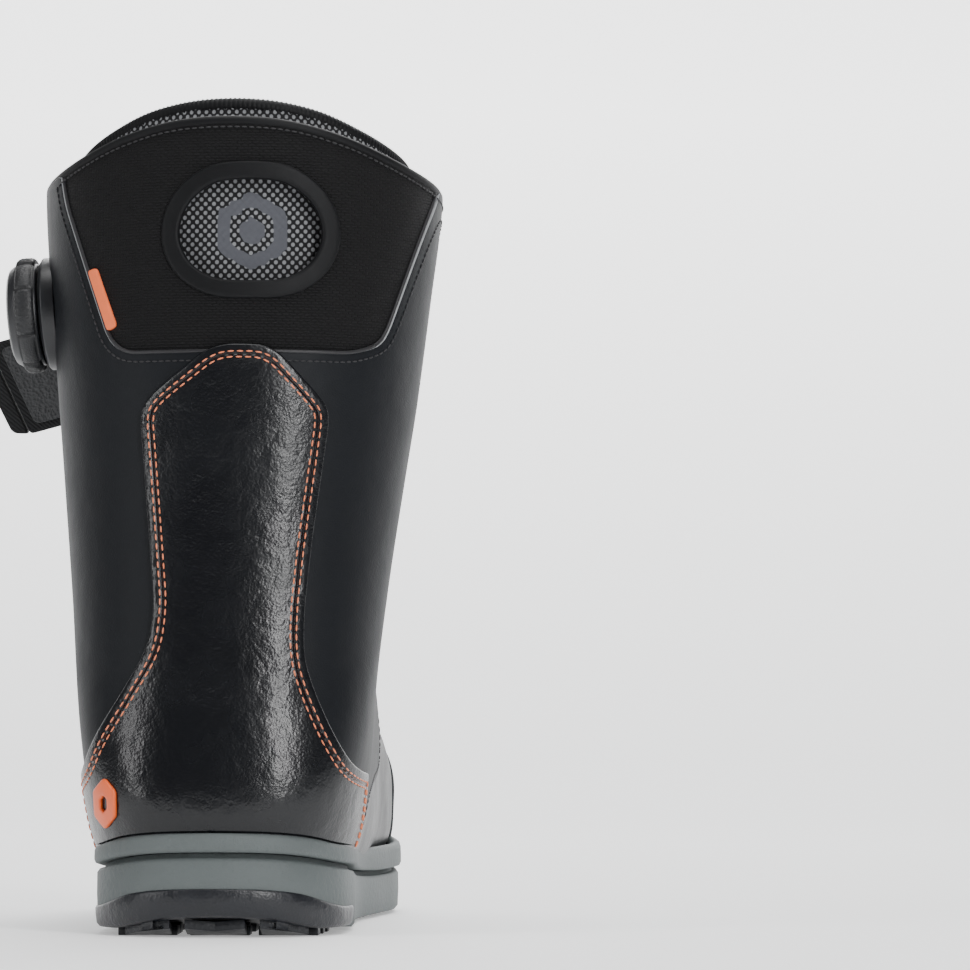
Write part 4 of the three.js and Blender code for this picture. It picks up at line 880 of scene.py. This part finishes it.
collar_knit = skin_panel("collar_knit", both(mesh_area(0), below_line(collar_line), outside(window(0))),
                         (0.7, 0.99),
                         cuff_turn, panel_low, panel_low + 1, knit, stands_for="collar_mesh_panel",
                         cell=1.8, rim=0.4, relief=pillow(1.3, 5))
skin_panel("window_ring", both(window(4.4), outside(window(0))), (0.76, 0.97),
           (0.65 * math.pi, 1.25 * math.pi),
           0.6, 3.1, binding_tape, stands_for="window_binding", cell=0.9, rim=1.1)
piped = iso_lines(both(mesh_area(-0.2), below_line(collar_line, 6)), 0, (0.7, 0.995), cuff_turn, 1.6,
                  longest=1)[0]
piped = piped[below_line(collar_line)(on_last(piped[:, 0], piped[:, 1], 0)) > 0]
piped = opened(piped, on_last(piped[:, 0], piped[:, 1], 0))
tube("collar_piping", on_last(piped[:, 0], piped[:, 1], 1.5), 0.75, piping, sides=8)


def rim_route(line, shift, inset, half_opening, step=1.0):
    """The top edge of a layer, from one side of the throat round the back to the other."""
    v = np.linspace(0.02, 2 * math.pi - 0.02, 500)
    low, high = np.full(500, 0.6), np.full(500, 1.0)
    for _ in range(24):
        u = (low + high) / 2
        p = on_slices(u, v, inset)
        held = p[:, 2] < height(line, p[:, 1]) + shift
        low, high = np.where(held, u, low), np.where(held, high, u)
    p = on_slices(low, v, inset)
    p = p[(p[:, 1] < -40) | (np.abs(p[:, 0] - 4) > half_opening)]
    return spaced(p, step)


collar_rim = rim_route(collar_line, 0.3, 0.2, throat_half[1] + 8)
tube("collar_binding", collar_rim, 2.0, binding_tape, stands_for="collar_binding")

# ---------------------------------------------------------------- backstay, toe cap and eyestays
# Overlays sewn on the outside of the quarters. The backstay is glossy pebbled leather with a double
# row of orange thread, the toe cap is moulded rubber, and the eyestays are coated leather.

gloss_leather = finish(
    "gloss_leather", (0.003, 0.0035, 0.005), 0.27, mottle=0.25, mottle_size=25, wear=0.07,
    grains=[("noise", 24, 0.8), ("cracks", 9, 0.24), ("cracks", 2.6, 0.09), ("cells", 0.9, 0.05)],
    Specular_IOR_Level=0.42,
)


def groove(material, at, half_width, depth):
    """A pressed line in a panel, a set distance from its edge."""
    tree = material.node_tree
    edge = tree.nodes.new("ShaderNodeAttribute")
    edge.attribute_name = "edge"
    off, away = (tree.nodes.new("ShaderNodeMath") for _ in range(2))
    off.operation, away.operation = "SUBTRACT", "ABSOLUTE"
    off.inputs[1].default_value = at
    tree.links.new(edge.outputs["Fac"], off.inputs[0])
    tree.links.new(off.outputs[0], away.inputs[0])
    wall = tree.nodes.new("ShaderNodeMapRange")
    wall.interpolation_type = "SMOOTHSTEP"
    wall.inputs["From Max"].default_value = half_width
    tree.links.new(away.outputs[0], wall.inputs["Value"])
    add_bump(material, wall.outputs["Result"], depth)


groove(gloss_leather, 3.0, 0.7, 0.5)
orange_thread = finish(
    "orange_thread", (0.78, 0.2, 0.075), 0.62, mottle=0.2, mottle_size=3, grains=[("noise", 0.3, 0.1)],
    Sheen_Weight=0.3)
backstay_points = [
    (-62, 20), (62, 20), (62, 52), (49, 58), (41, 72), (34, 88), (30.5, 100), (30.5, 116), (33, 141),
    (39.3, 188), (35, 194), (19, 211.5), (-1, 211.7), (-24, 194), (-28, 188), (-24, 141), (-22, 118),
    (-24, 103), (-33, 88), (-44, 71), (-51, 56), (-62, 50),
]
backstay_loop = rounded(backstay_points, 7)
backstay_sides = rounded([(-180, 0), (-94, 0), (-95, 40), (-104, 62), (-108, 80), (-80, 220), (-180, 220)], 5)
backstay = both(seen_from_back(backstay_loop), seen_from_side(backstay_sides), band)
skin_panel("backstay", backstay, (0.5, 0.9), back_half, over_low, over_high, gloss_leather,
           stands_for="backstay",
           cell=1.7, rim=0.7)
open_edge = both(seen_from_back(backstay_loop), seen_from_side(backstay_sides), above(band_top_line, -14))
orange_rows = []
for depth in (2.0, 4.1):
    for route in iso_lines(open_edge, depth, (0.5, 0.9), back_half, over_high, cell=1.5, longest=2):
        p = on_last(route[:, 0], route[:, 1], 0)
        orange_rows.append(route[p[:, 2] > height(band_top_line, p[:, 1]) - 2])
stitch_rows("backstay_stitches", orange_rows, over_high, orange_thread, pitch=3.35, length=2.55, thick=0.3)

toe_rubber = finish(
    "toe_rubber", (0.011, 0.012, 0.014), 0.5, Specular_IOR_Level=0.35, mottle=0.2, mottle_size=10,
    grains=[("cells", 1.6, 0.2), ("noise", 0.6, 0.05)], wear=0.12)
eyestay_leather = finish(
    "eyestay_leather", (0.006, 0.0065, 0.008), 0.36, Specular_IOR_Level=0.35, mottle=0.2, mottle_size=18,
    grains=[("noise", 10, 0.4), ("cells", 0.9, 0.07)], wear=0.1)
groove(eyestay_leather, 1.6, 0.5, 0.25)
toe_area = seen_from_side(rounded([(104, 0), (104, 40), (92, 70), (84, 140), (200, 140), (200, 0)], 3))
skin_panel("toe_cap", both(toe_area, band, outside(throat())), (-0.03, 0.3), front_turn, over_low - 0.5,
           over_high,
           toe_rubber, stands_for="toe_cap", cell=2.0, rim=0.8, joined=True)
eyestay_width = 15
upper_area = seen_from_side(np.array([(-60, 137), (120, 112), (120, 400), (-60, 400)], float))
strip = both(throat(eyestay_width), outside(throat()), outside(notch), below_line(collar_line),
             outside(toe_area), band)
stay_rows = []
for word, side, spread in (("lateral", -1, (-math.pi * 0.75, 0.0)), ("medial", 1, (0.0, math.pi * 0.75))):
    half = both(strip, lambda p, side=side: p[:, 0] * side - 0.15)
    for level, part in (("upper", upper_area), ("lower", outside(upper_area))):
        area = both(half, part)
        skin_panel(f"{level}_eyestay_{word}", area, (0.2, 0.99), spread, over_low, over_high, eyestay_leather,
                   stands_for=f"{level}_eyestay_{word}", cell=1.8, rim=0.6)
        stay_rows += iso_lines(area, 2.2, (0.2, 0.99), spread, over_high, longest=1)
stitch_rows("eyestay_stitches", stay_rows, over_high, black_thread)
toe_rows = iso_lines(both(toe_area, band), 3.0, (0.02, 0.3), front_turn, over_high, longest=1)
stitch_rows("toe_cap_stitches", toe_rows, over_high, black_thread)

# ---------------------------------------------------------------- stiffeners
# Heel counter and toe puff are thermoformed sheet between the lining and the liner, and the lasting
# board is pressed fibre. Only glimpses of them show.


def softened(node, material, body, width=0.5, sharp=30):
    """A moulded piece made from its plain solid: flat faces cleaned, and edges rounded."""
    bm = bmesh.new()
    bm.from_mesh(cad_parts[node].data)
    bmesh.ops.remove_doubles(bm, verts=bm.verts, dist=0.00003)
    bmesh.ops.dissolve_limit(bm, angle_limit=math.radians(4), verts=bm.verts, edges=bm.edges)
    edges = [e for e in bm.edges if len(e.link_faces) == 2 and e.calc_face_angle(0) > math.radians(sharp)]
    bmesh.ops.bevel(bm, geom=edges, offset=width * MM, segments=2, profile=0.5, affect="EDGES",
                    material=-1, clamp_overlap=True)
    obj = put(add_object(f"{node}_moulded", bm, material), body, node)
    obj.modifiers.new("even", "WEIGHTED_NORMAL").keep_sharp = True
    return obj


stiffener_sheet = finish("stiffener_sheet", (0.03, 0.03, 0.033), 0.6, grains=[("noise", 1.2, 0.1)])
coat("heel_counter", stiffener_sheet)
coat("toe_puff", stiffener_sheet)
coat("lasting_board", shank_board)

# ---------------------------------------------------------------- trim
# A folded orange tape label in the seam, a plain six-sided orange badge on the heel, and the loop
# patch that the strap closes on.

orange_rubber = finish("orange_rubber", (0.78, 0.115, 0.02), 0.42, mottle=0.08, mottle_size=4,
                       grains=[("noise", 0.6, 0.04)])
orange_tape = finish("orange_tape", (0.85, 0.16, 0.045), 0.6, mottle=0.12, mottle_size=3,
                     grains=[("cells", 0.5, 0.1)])
tag_loop = rounded([(-48.6, 240), (-45.9, 240.6), (-38.2, 219.8), (-41, 218.4)], 0.8)
skin_panel("seam_tag", seen_from_back(tag_loop), (0.7, 0.99), (math.pi, 1.5 * math.pi), 1.4, 3.0, orange_tape,
           stands_for="seam_tag", cell=0.7, rim=0.5)
around = np.arange(6) * math.pi / 3 + math.pi / 2
hexagon = lambda wide, tall: np.column_stack([wide * np.cos(around), tall * np.sin(around)])
badge_centre = (-40.2, 47.3)
badge = both(seen_from_back(rounded(hexagon(4.6, 8.6) + badge_centre, 0.8)),
             outside(seen_from_back(rounded(hexagon(2.0, 3.7) + badge_centre, 0.5))))
skin_panel("heel_badge", badge, (0.5, 0.75), (math.pi, 1.5 * math.pi), over_high - 0.3, over_high + 1.3,
           orange_rubber,
           stands_for="heel_badge", cell=0.6, rim=0.6)
loop_fleece = finish("loop_fleece", (0.012, 0.012, 0.013), 0.95, mottle=0.3, mottle_size=2,
                     grains=[("cells", 1.1, 0.35), ("noise", 0.5, 0.3)], Sheen_Weight=0.3)
patch = both(seen_from_side(rounded([(-36, 168), (-18, 168), (-18, 200), (-36, 200)], 3)),
             outside(throat(eyestay_width + 1)))
skin_panel("loop_patch", patch, (0.6, 0.95), (1.1 * math.pi, 1.95 * math.pi), over_low, over_high,
           loop_fleece,
           stands_for="loop_patch", cell=1.5, rim=0.5)

# ---------------------------------------------------------------- liner
# A foam bootie that lifts out: black spacer mesh with pale dots outside, brushed lining within, and
# a ribbed tape sewn round its top. A plain six-sided mark is printed on it behind the window.

liner_inside, liner_outside = -16.5, -7.9
liner_line = smooth_line([
    (-170, 303), (-128, 303), (-119, 301), (-111, 296.5), (-99, 289.5), (-80, 283), (-50, 279), (170, 278.3),
])
spacer_mesh = finish("spacer_mesh", (0.0075, 0.0075, 0.0085), 0.8, mottle=0.2, mottle_size=6,
                     grains=[("noise", 0.5, 0.15)], Specular_IOR_Level=0.25)
tree = spacer_mesh.node_tree
diagonal = tree.nodes.new("ShaderNodeMapping")
diagonal.inputs["Rotation"].default_value = (0, 0, math.pi / 4)
tree.links.new(tree.nodes["Texture Coordinate"].outputs["UV"], diagonal.inputs["Vector"])
dots = node_of(spacer_mesh, "ShaderNodeTexVoronoi", diagonal.outputs["Vector"], Scale=1000 / 2.3,
               Randomness=0.0)
add_bump(spacer_mesh, dots.outputs["Distance"], 0.5)
tint(spacer_mesh, dots.outputs["Distance"], (0.2, 0.205, 0.215), 0.38, 0.27)
mark = tree.nodes.new("ShaderNodeAttribute")
mark.attribute_name = "print"
tint(spacer_mesh, mark.outputs["Fac"], (0.075, 0.078, 0.09), 0.45, 0.55)


def liner_swell(d, p):
    """The foam stands proud behind the window, and is drawn in under the top tape."""
    back = np.clip((-30 - p[:, 1]) / 20, 0, 1)
    proud = 3.4 * np.exp(-np.maximum(0, 232 - p[:, 2]) / 14)
    return back * (proud - 6.5 * np.exp(-(d / 10) ** 2) * (p[:, 2] > 240))


liner = skin_panel("liner", both(below_line(liner_line), outside(throat(-4))), (0.004, 0.995), full_turn,
                   liner_inside, liner_outside,
                   [spacer_mesh, lining_cloth], stands_for="liner", cell=2.6, rim=2.2,
                   relief=liner_swell, place=under_skin, joined=True)
printed = liner.data.attributes.new("print", "FLOAT", "POINT")
at = np.array([v.co for v in liner.data.vertices]) / MM
mark_centre = (11.4, 253.5)
ring_depth = np.minimum(within(at[:, [0, 2]], rounded(hexagon(14.5, 14.5) + mark_centre, 2)),
                        -within(at[:, [0, 2]], rounded(hexagon(9.2, 9.2) + mark_centre, 1.5)))
core_depth = within(at[:, [0, 2]], rounded(hexagon(5.2, 5.2) + mark_centre, 1))
on_back = at[:, 1] < -60
printed.data.foreach_set("value", np.clip(0.5 + np.where(on_back, np.maximum(ring_depth, core_depth),
        -5) * 0.5, 0, 1))
liner_rim = rim_route(liner_line, 0.6, 13.4, throat_half[1] + 4, step=0.55)
ribs = 2.9 + 0.22 * np.cos(np.arange(len(liner_rim)) * math.pi / 1.5)
tube("liner_binding", liner_rim, ribs, binding_tape, stands_for="liner_binding",
     sides=14)
liner_tongue = skin_panel("liner_tongue", both(throat(-5.2), below_line(liner_line, -2)), (0.2, 0.995),
                          (-math.pi / 2, math.pi / 2), liner_inside, liner_outside,
                          [spacer_mesh, lining_cloth], "liner_tongue",
                          "liner_tongue", cell=2.4, rim=2.2, place=under_skin)
footbed_foam = finish("footbed_foam", (0.05, 0.05, 0.055), 0.85, grains=[("cells", 1.5, 0.15)])
softened("footbed", footbed_foam, "shell", 1.2)

# ---------------------------------------------------------------- lace
# A thin steel cable, coated grey, runs from the dial through the guides, crossing the tongue eight
# times, and returns to the dial in a sleeve up the lateral side, in two halves parted on the tongue.

dial_u, dial_v = np.array([0.871]), np.array([1.5 * math.pi])
dial_foot = on_last(dial_u, dial_v, panel_high + 0.3)[0]
dial_out = facing(dial_u, dial_v)[0]
dial_side = np.cross(dial_out, (0, 1, 0))
dial_side /= np.linalg.norm(dial_side)
dial_ahead = np.cross(dial_side, dial_out)
in_dial = lambda x, y, z: dial_foot + dial_ahead * x + dial_side * y + dial_out * z
base_radius, spool_waist, lace_level, lace_radius = 21, 8.5, 2.7, 0.7
guide_off, return_off = 5.85, 4.1


def front_at(u, x, off):
    """The point in front on slice u at a given x."""
    low, high, u = -math.pi * 0.55, math.pi * 0.55, np.array([u])
    for _ in range(24):
        middle = (low + high) / 2
        low, high = (middle, high) if on_slices(u, np.array([middle]))[0][0] < x else (low, middle)
    return on_last(u, np.array([low]), off)[0]


def throat_edge(u):
    rise = (on_slices(np.array([u]), np.array([0.5]))[0] - throat_root) @ throat_up
    start = throat_foot + throat_half[0]
    return np.interp(rise, (start, throat_head), throat_half)


lace_turns = [(0.742, 1), (0.68, -1), (0.625, 1), (0.575, -1), (0.432, 1), (0.41, -1), (0.388, 1),
              (0.366, -1)]
lace = [in_dial(-2, -spool_waist - 1.1, lace_level), in_dial(base_radius + 1, -spool_waist - 1.1, lace_level)]
for u, v in [(0.858, 1.64), (0.83, 1.71), (0.8, 1.785), (0.787, 1.845), (0.776, 1.905)]:
    lace.append(on_last(np.array([u]), np.array([v * math.pi]), guide_off)[0])
for number, (u, side) in enumerate(lace_turns):
    ends = spline(last_slices[:, 0:2], np.array([u - 0.01, u + 0.01]))
    half = 4 * 0.02 / np.linalg.norm(ends[1] - ends[0])
    far = throat_edge(u) + eyestay_width / 2
    steps = [(1, throat_edge(u) - 3), (1, far - 1), (0.7, far + 1.8), (0, far + 3), (-0.7, far + 1.8),
             (-1, far - 1),
             (-1, throat_edge(u) - 3)]
    lace.append(front_at(u + half * 1.4, 0, guide_off + 0.7))
    lace += [front_at(u + k * half, side * x, guide_off) for k, x in (steps if number < 7 else steps[:4])]
back_way = [(0.385, 1.72), (0.45, 1.672), (0.52, 1.64), (0.58, 1.62), (0.64, 1.602), (0.7, 1.585),
            (0.755, 1.568)]
back_way = [on_last(np.array([u]), np.array([v * math.pi]), return_off)[0] for u, v in back_way]
lace += back_way + [in_dial(base_radius + 1, spool_waist + 1.1, lace_level),
                    in_dial(-2, spool_waist + 1.1, lace_level)]
lace = np.array(lace)
cable = finish("cable", (0.16, 0.165, 0.17), 0.35, metallic=0.6, mottle=0.1, mottle_size=2,
               grains=[("noise", 0.35, 0.12)])
middle_x = front_at(0.5, 0, 0)[0]
crossings = [i for i in range(7, len(lace) - 10)
             if abs(lace[i][0]) < 0.01 or abs(lace[i][0] - middle_x) < 0.01]
runs = np.split(lace, crossings)
halves = {-1: [], 1: []}
for i, run in enumerate(runs):
    run = np.vstack([run, runs[i + 1][:1]]) if i + 1 < len(runs) else run
    side = 1 if run[len(run) // 2][0] > 0 else -1
    halves[side].append(spaced(run, 1.2))
for side, word in ((-1, "lateral"), (1, "medial")):
    bm = bmesh.new()
    for run in halves[side]:
        loops = []
        for ring in tube("", run, lace_radius, cable, sides=8, hang=False):
            verts = [bm.verts.new(Vector(p) * MM) for p in ring]
            loops.append([bm.edges.new((a, b)) for a, b in zip(verts, verts[1:] + verts[:1])])
        for lower, upper in zip(loops, loops[1:]):
            bmesh.ops.bridge_loops(bm, edges=lower + upper)
        for end in (loops[0], loops[-1]):
            bmesh.ops.edgeloop_fill(bm, edges=end)
    bmesh.ops.recalc_face_normals(bm, faces=bm.faces)
    obj = add_object(f"lace_{word}", bm, cable)
    if side < 0:
        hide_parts("dial_lace")
    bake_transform(obj)
sleeve_cloth = finish("sleeve_cloth", (0.012, 0.012, 0.013), 0.6, grains=[("cells", 0.6, 0.12)])
tube("lace_sleeve", spaced(np.array(back_way[1:-1]), 1.5) + 0.0, 1.9, sleeve_cloth,
     stands_for="lace_sleeve", sides=10)

# ---------------------------------------------------------------- lace guides
# Low moulded nylon blocks, riveted to the eyestays, that the cable turns in.

nylon = finish("nylon", (0.009, 0.0097, 0.012), 0.38, mottle=0.12, mottle_size=4,
               grains=[("noise", 0.5, 0.04)], wear=0.1)


for word in ("lateral", "medial"):
    for number in range(1, 5):
        softened(f"lace_guide_{word}_{number}", nylon, "shell", 0.4)

# ---------------------------------------------------------------- dial
# A ratchet dial on the lateral cuff: a moulded base with its cup, a spool that winds the cable, a drive
# hub, and a knob with a rubber grip, a steel ring and a plain cap, held by one screw.

dial_frame = framed(dial_foot, dial_ahead, dial_side, dial_out)


def turned(name, profile, material, body, stands_for, steps=96, shape=None, soft=0.25):
    """A piece turned on the dial's axis from a closed profile of radius and height, with eased corners."""
    loop = rounded(profile, soft) if soft else np.array(profile, float)
    bm = bmesh.new()
    verts = [bm.verts.new((max(r, 0), 0, z)) for r, z in loop]
    edges = [bm.edges.new((a, b)) for a, b in zip(verts, verts[1:] + verts[:1])]
    bmesh.ops.spin(bm, geom=verts + edges, cent=(0, 0, 0), axis=(0, 0, 1), angle=2 * math.pi, steps=steps,
                   use_merge=True)
    bmesh.ops.remove_doubles(bm, verts=bm.verts, dist=0.01)
    bmesh.ops.dissolve_degenerate(bm, edges=bm.edges, dist=0.001)
    for vert in bm.verts if shape else ():
        vert.co = shape(vert.co)
    bmesh.ops.recalc_face_normals(bm, faces=bm.faces)
    bm.transform(Matrix.Scale(MM, 4) @ dial_frame)
    return put(add_object(name, bm, material), body, stands_for)


grip_rubber = finish("grip_rubber", (0.007, 0.0075, 0.009), 0.5, mottle=0.2, mottle_size=3,
                     grains=[("cells", 0.7, 0.1), ("noise", 0.4, 0.05)], wear=0.15)
bright_steel = finish("bright_steel", (0.62, 0.63, 0.65), 0.22, metallic=1.0, mottle=0.06, mottle_size=2,
                      grains=[("noise", 0.3, 0.01)])
turned("dial_base_moulded", [(0, -3), (21, -3), (21, 2.0), (19.4, 3.2), (15.5, 3.4), (15.5, 8), (13.6, 8),
                             (13.6, 0.8),
       (3.4, 0.8), (3.4, 12.2), (1.9, 12.2), (1.9, 1.6), (0, 1.6)], nylon, "shell", "dial_base",
       soft=0.5)
turned("dial_spool_moulded", [(3.7, 1.1), (13.3, 1.1), (13.3, 1.8), (8.5, 1.7), (8.5, 3.7), (13.3, 3.6),
                              (13.3, 4.3), (3.7, 4.3)],
       nylon, "spool", "dial_spool", steps=64)
turned("dial_drive_hub_moulded", [(3.7, 4.6), (13.3, 4.6), (13.3, 8.3), (6.2, 8.3), (6.2, 11.9), (3.7, 11.9)],
       nylon, "drive_hub", "dial_drive_hub", steps=64)
turned("dial_screw_turned", [(0, 1.9), (1.6, 1.9), (1.6, 12.5), (4.4, 12.5), (4.4, 13.6), (3.6, 13.9),
                             (0, 13.9)],
       bright_steel, "shell", "dial_screw", steps=48)
turned("dial_knob_moulded", [(16.1, 3.9), (18.6, 3.9), (19.2, 4.7), (19.2, 12.1), (17.6, 14.6),
                             (15.5, 15.5), (14.6, 15.5), (14.6, 14.1),
       (6.5, 14.1), (6.5, 8.6), (16.1, 8.6)], nylon, "knob", "dial_knob", soft=0.5)
turned("dial_ring_steel", [(12.9, 14.4), (14.3, 14.4), (14.3, 15.5), (12.9, 15.5)], bright_steel, "knob",
       "dial_ring", soft=0.2)
cap_plastic = finish("cap_plastic", (0.012, 0.013, 0.015), 0.5, mottle=0.1, mottle_size=4,
                     grains=[("noise", 0.6, 0.03)])
turned("dial_cap_moulded", [(0, 14.4), (12.6, 14.4), (12.6, 15.2), (9, 15.6), (0, 15.8)], cap_plastic,
       "knob", "dial_cap", soft=0.2)


def grip_shape(co):
    """Crinkled pads in four places round the grip, smooth between, with a seam line at each end."""
    radius, angle = math.hypot(co.x, co.y), math.atan2(co.y, co.x)
    if radius < 20:
        return co
    zone = math.cos(4 * angle)
    pad = max(0, min(1, (zone + 0.15) * 5))
    crinkle = 0.5 * math.sin(angle * 72) * math.cos(co.z * 1.6 + angle * 9) * pad
    seam = -0.5 if -0.32 < zone < -0.15 else 0
    grown = (radius - 0.9 + 0.7 * pad + crinkle * 0.6 + seam) / radius
    return Vector((co.x * grown, co.y * grown, co.z))


turned("dial_grip_rubber", [(19.5, 4.8), (20.4, 4.8), (21.2, 5.6), (21.5, 6.8), (21.6, 8.2), (21.5, 9.8),
                            (21.2, 11), (20.4, 11.8),
       (19.5, 11.8)], grip_rubber, "knob", "dial_grip", steps=288, shape=grip_shape, soft=0)

# ---------------------------------------------------------------- tongue
# The outer tongue is coated leather over foam, quilted across, and hinged at the instep. A folded web
# loop on its top edge pulls it open.

tongue_leather = finish("tongue_leather", (0.0065, 0.007, 0.0085), 0.45, Specular_IOR_Level=0.3,
                        mottle=0.2, mottle_size=14,
                        grains=[("noise", 12, 0.4), ("cells", 0.8, 0.06)], wear=0.08)
groove(tongue_leather, 4.0, 0.7, 0.4)


def quilted(d, p):
    return 0.7 * (1 - np.exp(-d / 3)) * (0.35 + 0.65 * np.abs(np.sin(p @ throat_up / 7.5))) - 0.7


tongue_area = both(throat(-1.2), lambda p: height(collar_line, p[:, 1]) + 14 - p[:, 2])
tongue = skin_panel("tongue_quilted", tongue_area, (0.2, 0.999), (-math.pi / 2, math.pi / 2), -3.0, 1.8,
                    tongue_leather,
                    "tongue", "tongue", cell=1.8, rim=1.4, relief=quilted)
webbing = finish("webbing", (0.007, 0.007, 0.008), 0.65, mottle=0.2, mottle_size=2.5,
                 grains=[("noise", 0.45, 0.15)],
                 Specular_IOR_Level=0.25)
ribs_across = node_of(webbing, "ShaderNodeTexWave", Scale=420, Distortion=0.6)
ribs_across.bands_direction = "DIAGONAL"
add_bump(webbing, ribs_across.outputs["Fac"], 0.16)


def ribbon(name, path, across, width, thick, material, body, stands_for):
    """A strip of webbing swept along a path, with rounded selvedges."""
    path, across = np.asarray(path, float), np.asarray(across, float)
    tangent = np.gradient(path, axis=0)
    out = np.cross(tangent, across)
    out /= np.linalg.norm(out, axis=1)[:, None]
    a, b, r = width / 2, thick / 2, thick * 0.35
    section = [(-a, -b + r), (-a + r, -b), (a - r, -b), (a, -b + r), (a, b - r), (a - r, b), (-a + r, b),
               (-a, b - r)]
    rings = [[p + across * s + o * t for s, t in section] for p, o in zip(path, out)]
    return stack_rings(name, rings, material, body, stands_for)


loop_low, loop_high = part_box("tongue_pull_loop")
loop_y, loop_base = (loop_low.y + loop_high.y) / 2 / MM, loop_low.z / MM
bow = np.linspace(0, math.pi, 14)
loop_path = np.vstack([
    [(0.02, loop_y - 3.7, loop_base), (0.02, loop_y - 3.7, loop_base + 5)],
    np.column_stack([np.full(14, 0.02), loop_y - 3.7 * np.cos(bow), loop_base + 10.5 + 3.7 * np.sin(bow)]),
    [(0.02, loop_y + 3.7, loop_base + 5), (0.02, loop_y + 3.7, loop_base)],
])
ribbon("tongue_pull_loop_webbing", loop_path, (1, 0, 0), 16, 1.5, webbing, "tongue", "tongue_pull_loop")

# ---------------------------------------------------------------- power strap
# A broad webbing strap, sewn to the tongue by an anchor, and closed on the loop patch by the hooks
# inside its free end. The free end is bound with a folded tab.

strap_slope = math.radians(14)
strap_along = np.array((-math.cos(strap_slope), 0, -math.sin(strap_slope)))
strap_across = np.array((-math.sin(strap_slope), 0, math.cos(strap_slope)))
strap_origin = np.array((-4, 0, 227))
strap_half, strap_thick, strap_low = 19, 2.2, 8.5


def strap_area(start, end, half):
    def region(p):
        from_middle = p - strap_origin
        a, b = from_middle @ strap_along, from_middle @ strap_across
        return np.where(p[:, 1] > -60, np.minimum.reduce([a - start, end - a, half - np.abs(b)]), -50)
    return region


skin_panel("power_strap_webbing", strap_area(-24, 27, strap_half), (0.7, 0.97),
           (-math.pi * 0.45, math.pi * 0.45), strap_low,
           strap_low + strap_thick, webbing, "tongue", "power_strap", cell=1.6, rim=0.8)
skin_panel("strap_anchor_web", strap_area(-24, -12, strap_half - 2), (0.7, 0.97),
           (-math.pi * 0.45, math.pi * 0.45), 2.1,
           strap_low - 0.3, webbing, "tongue", "strap_anchor", cell=1.8, rim=0.8)
flap_along, flap_out = np.array((-0.9454, 0.2250, -0.2357)), np.array((0.2183, 0.9744, 0.0544))
flap_foot = np.array((-30.530, 1.305, 221.307)) + flap_out * strap_thick / 2
flap_frame = framed(flap_foot, flap_along, strap_across, flap_out)


def flap_slab(name, corners, low, high, material, stands_for, radius=4, edge=0.5):
    """A flat piece of the strap's free end, cut with rounded corners and eased edges."""
    bm = bmesh.new()
    face = bm.faces.new([bm.verts.new((a, b, low)) for a, b in rounded(corners, radius)])
    grown = bmesh.ops.extrude_face_region(bm, geom=[face])["geom"]
    upper = [g for g in grown if isinstance(g, bmesh.types.BMVert)]
    bmesh.ops.translate(bm, vec=(0, 0, high - low), verts=upper)
    bmesh.ops.recalc_face_normals(bm, faces=bm.faces)
    rims = [e for e in bm.edges if e.calc_face_angle(0) > 1]
    bmesh.ops.bevel(bm, geom=rims, offset=edge, segments=3, profile=0.5, affect="EDGES", material=-1)
    bmesh.ops.triangulate(bm, faces=[f for f in bm.faces if len(f.verts) > 4])
    bm.transform(Matrix.Scale(MM, 4) @ flap_frame)
    obj = put(add_object(name, bm, material), "strap_end", stands_for)
    obj.modifiers.new("even", "WEIGHTED_NORMAL").keep_sharp = True
    return obj


tip = lambda b, back=0.0: 68 - back + 8 * b / 38
t = strap_thick / 2
flap_slab("strap_end_webbing", [(-2.6, -19), (tip(-19), -19), (tip(19), 19), (-2.6, 19)], -t, t, webbing,
          "strap_end",
          1.5, 0.7)
hook_plastic = finish("hook_plastic", (0.02, 0.021, 0.023), 0.55, mottle=0.2, mottle_size=2,
                      grains=[("cells", 1.2, 0.5), ("noise", 0.5, 0.2)])
flap_slab("strap_hook_field", [(14, -16), (tip(-16, 4), -16), (tip(16, 4), 16), (14, 16)], -t - 1.3, -t - 0.3,
          hook_plastic, "strap_hooks", 3, 0.3)
flap_slab("strap_end_tab_folded", [(tip(-19) + 0.3, -19), (tip(-19) + 7, -17), (tip(19) + 7, 17),
                                   (tip(19) + 0.3, 19)],
          -t - 0.6, t + 0.6, webbing, "strap_end_tab", 2.5, 0.8)
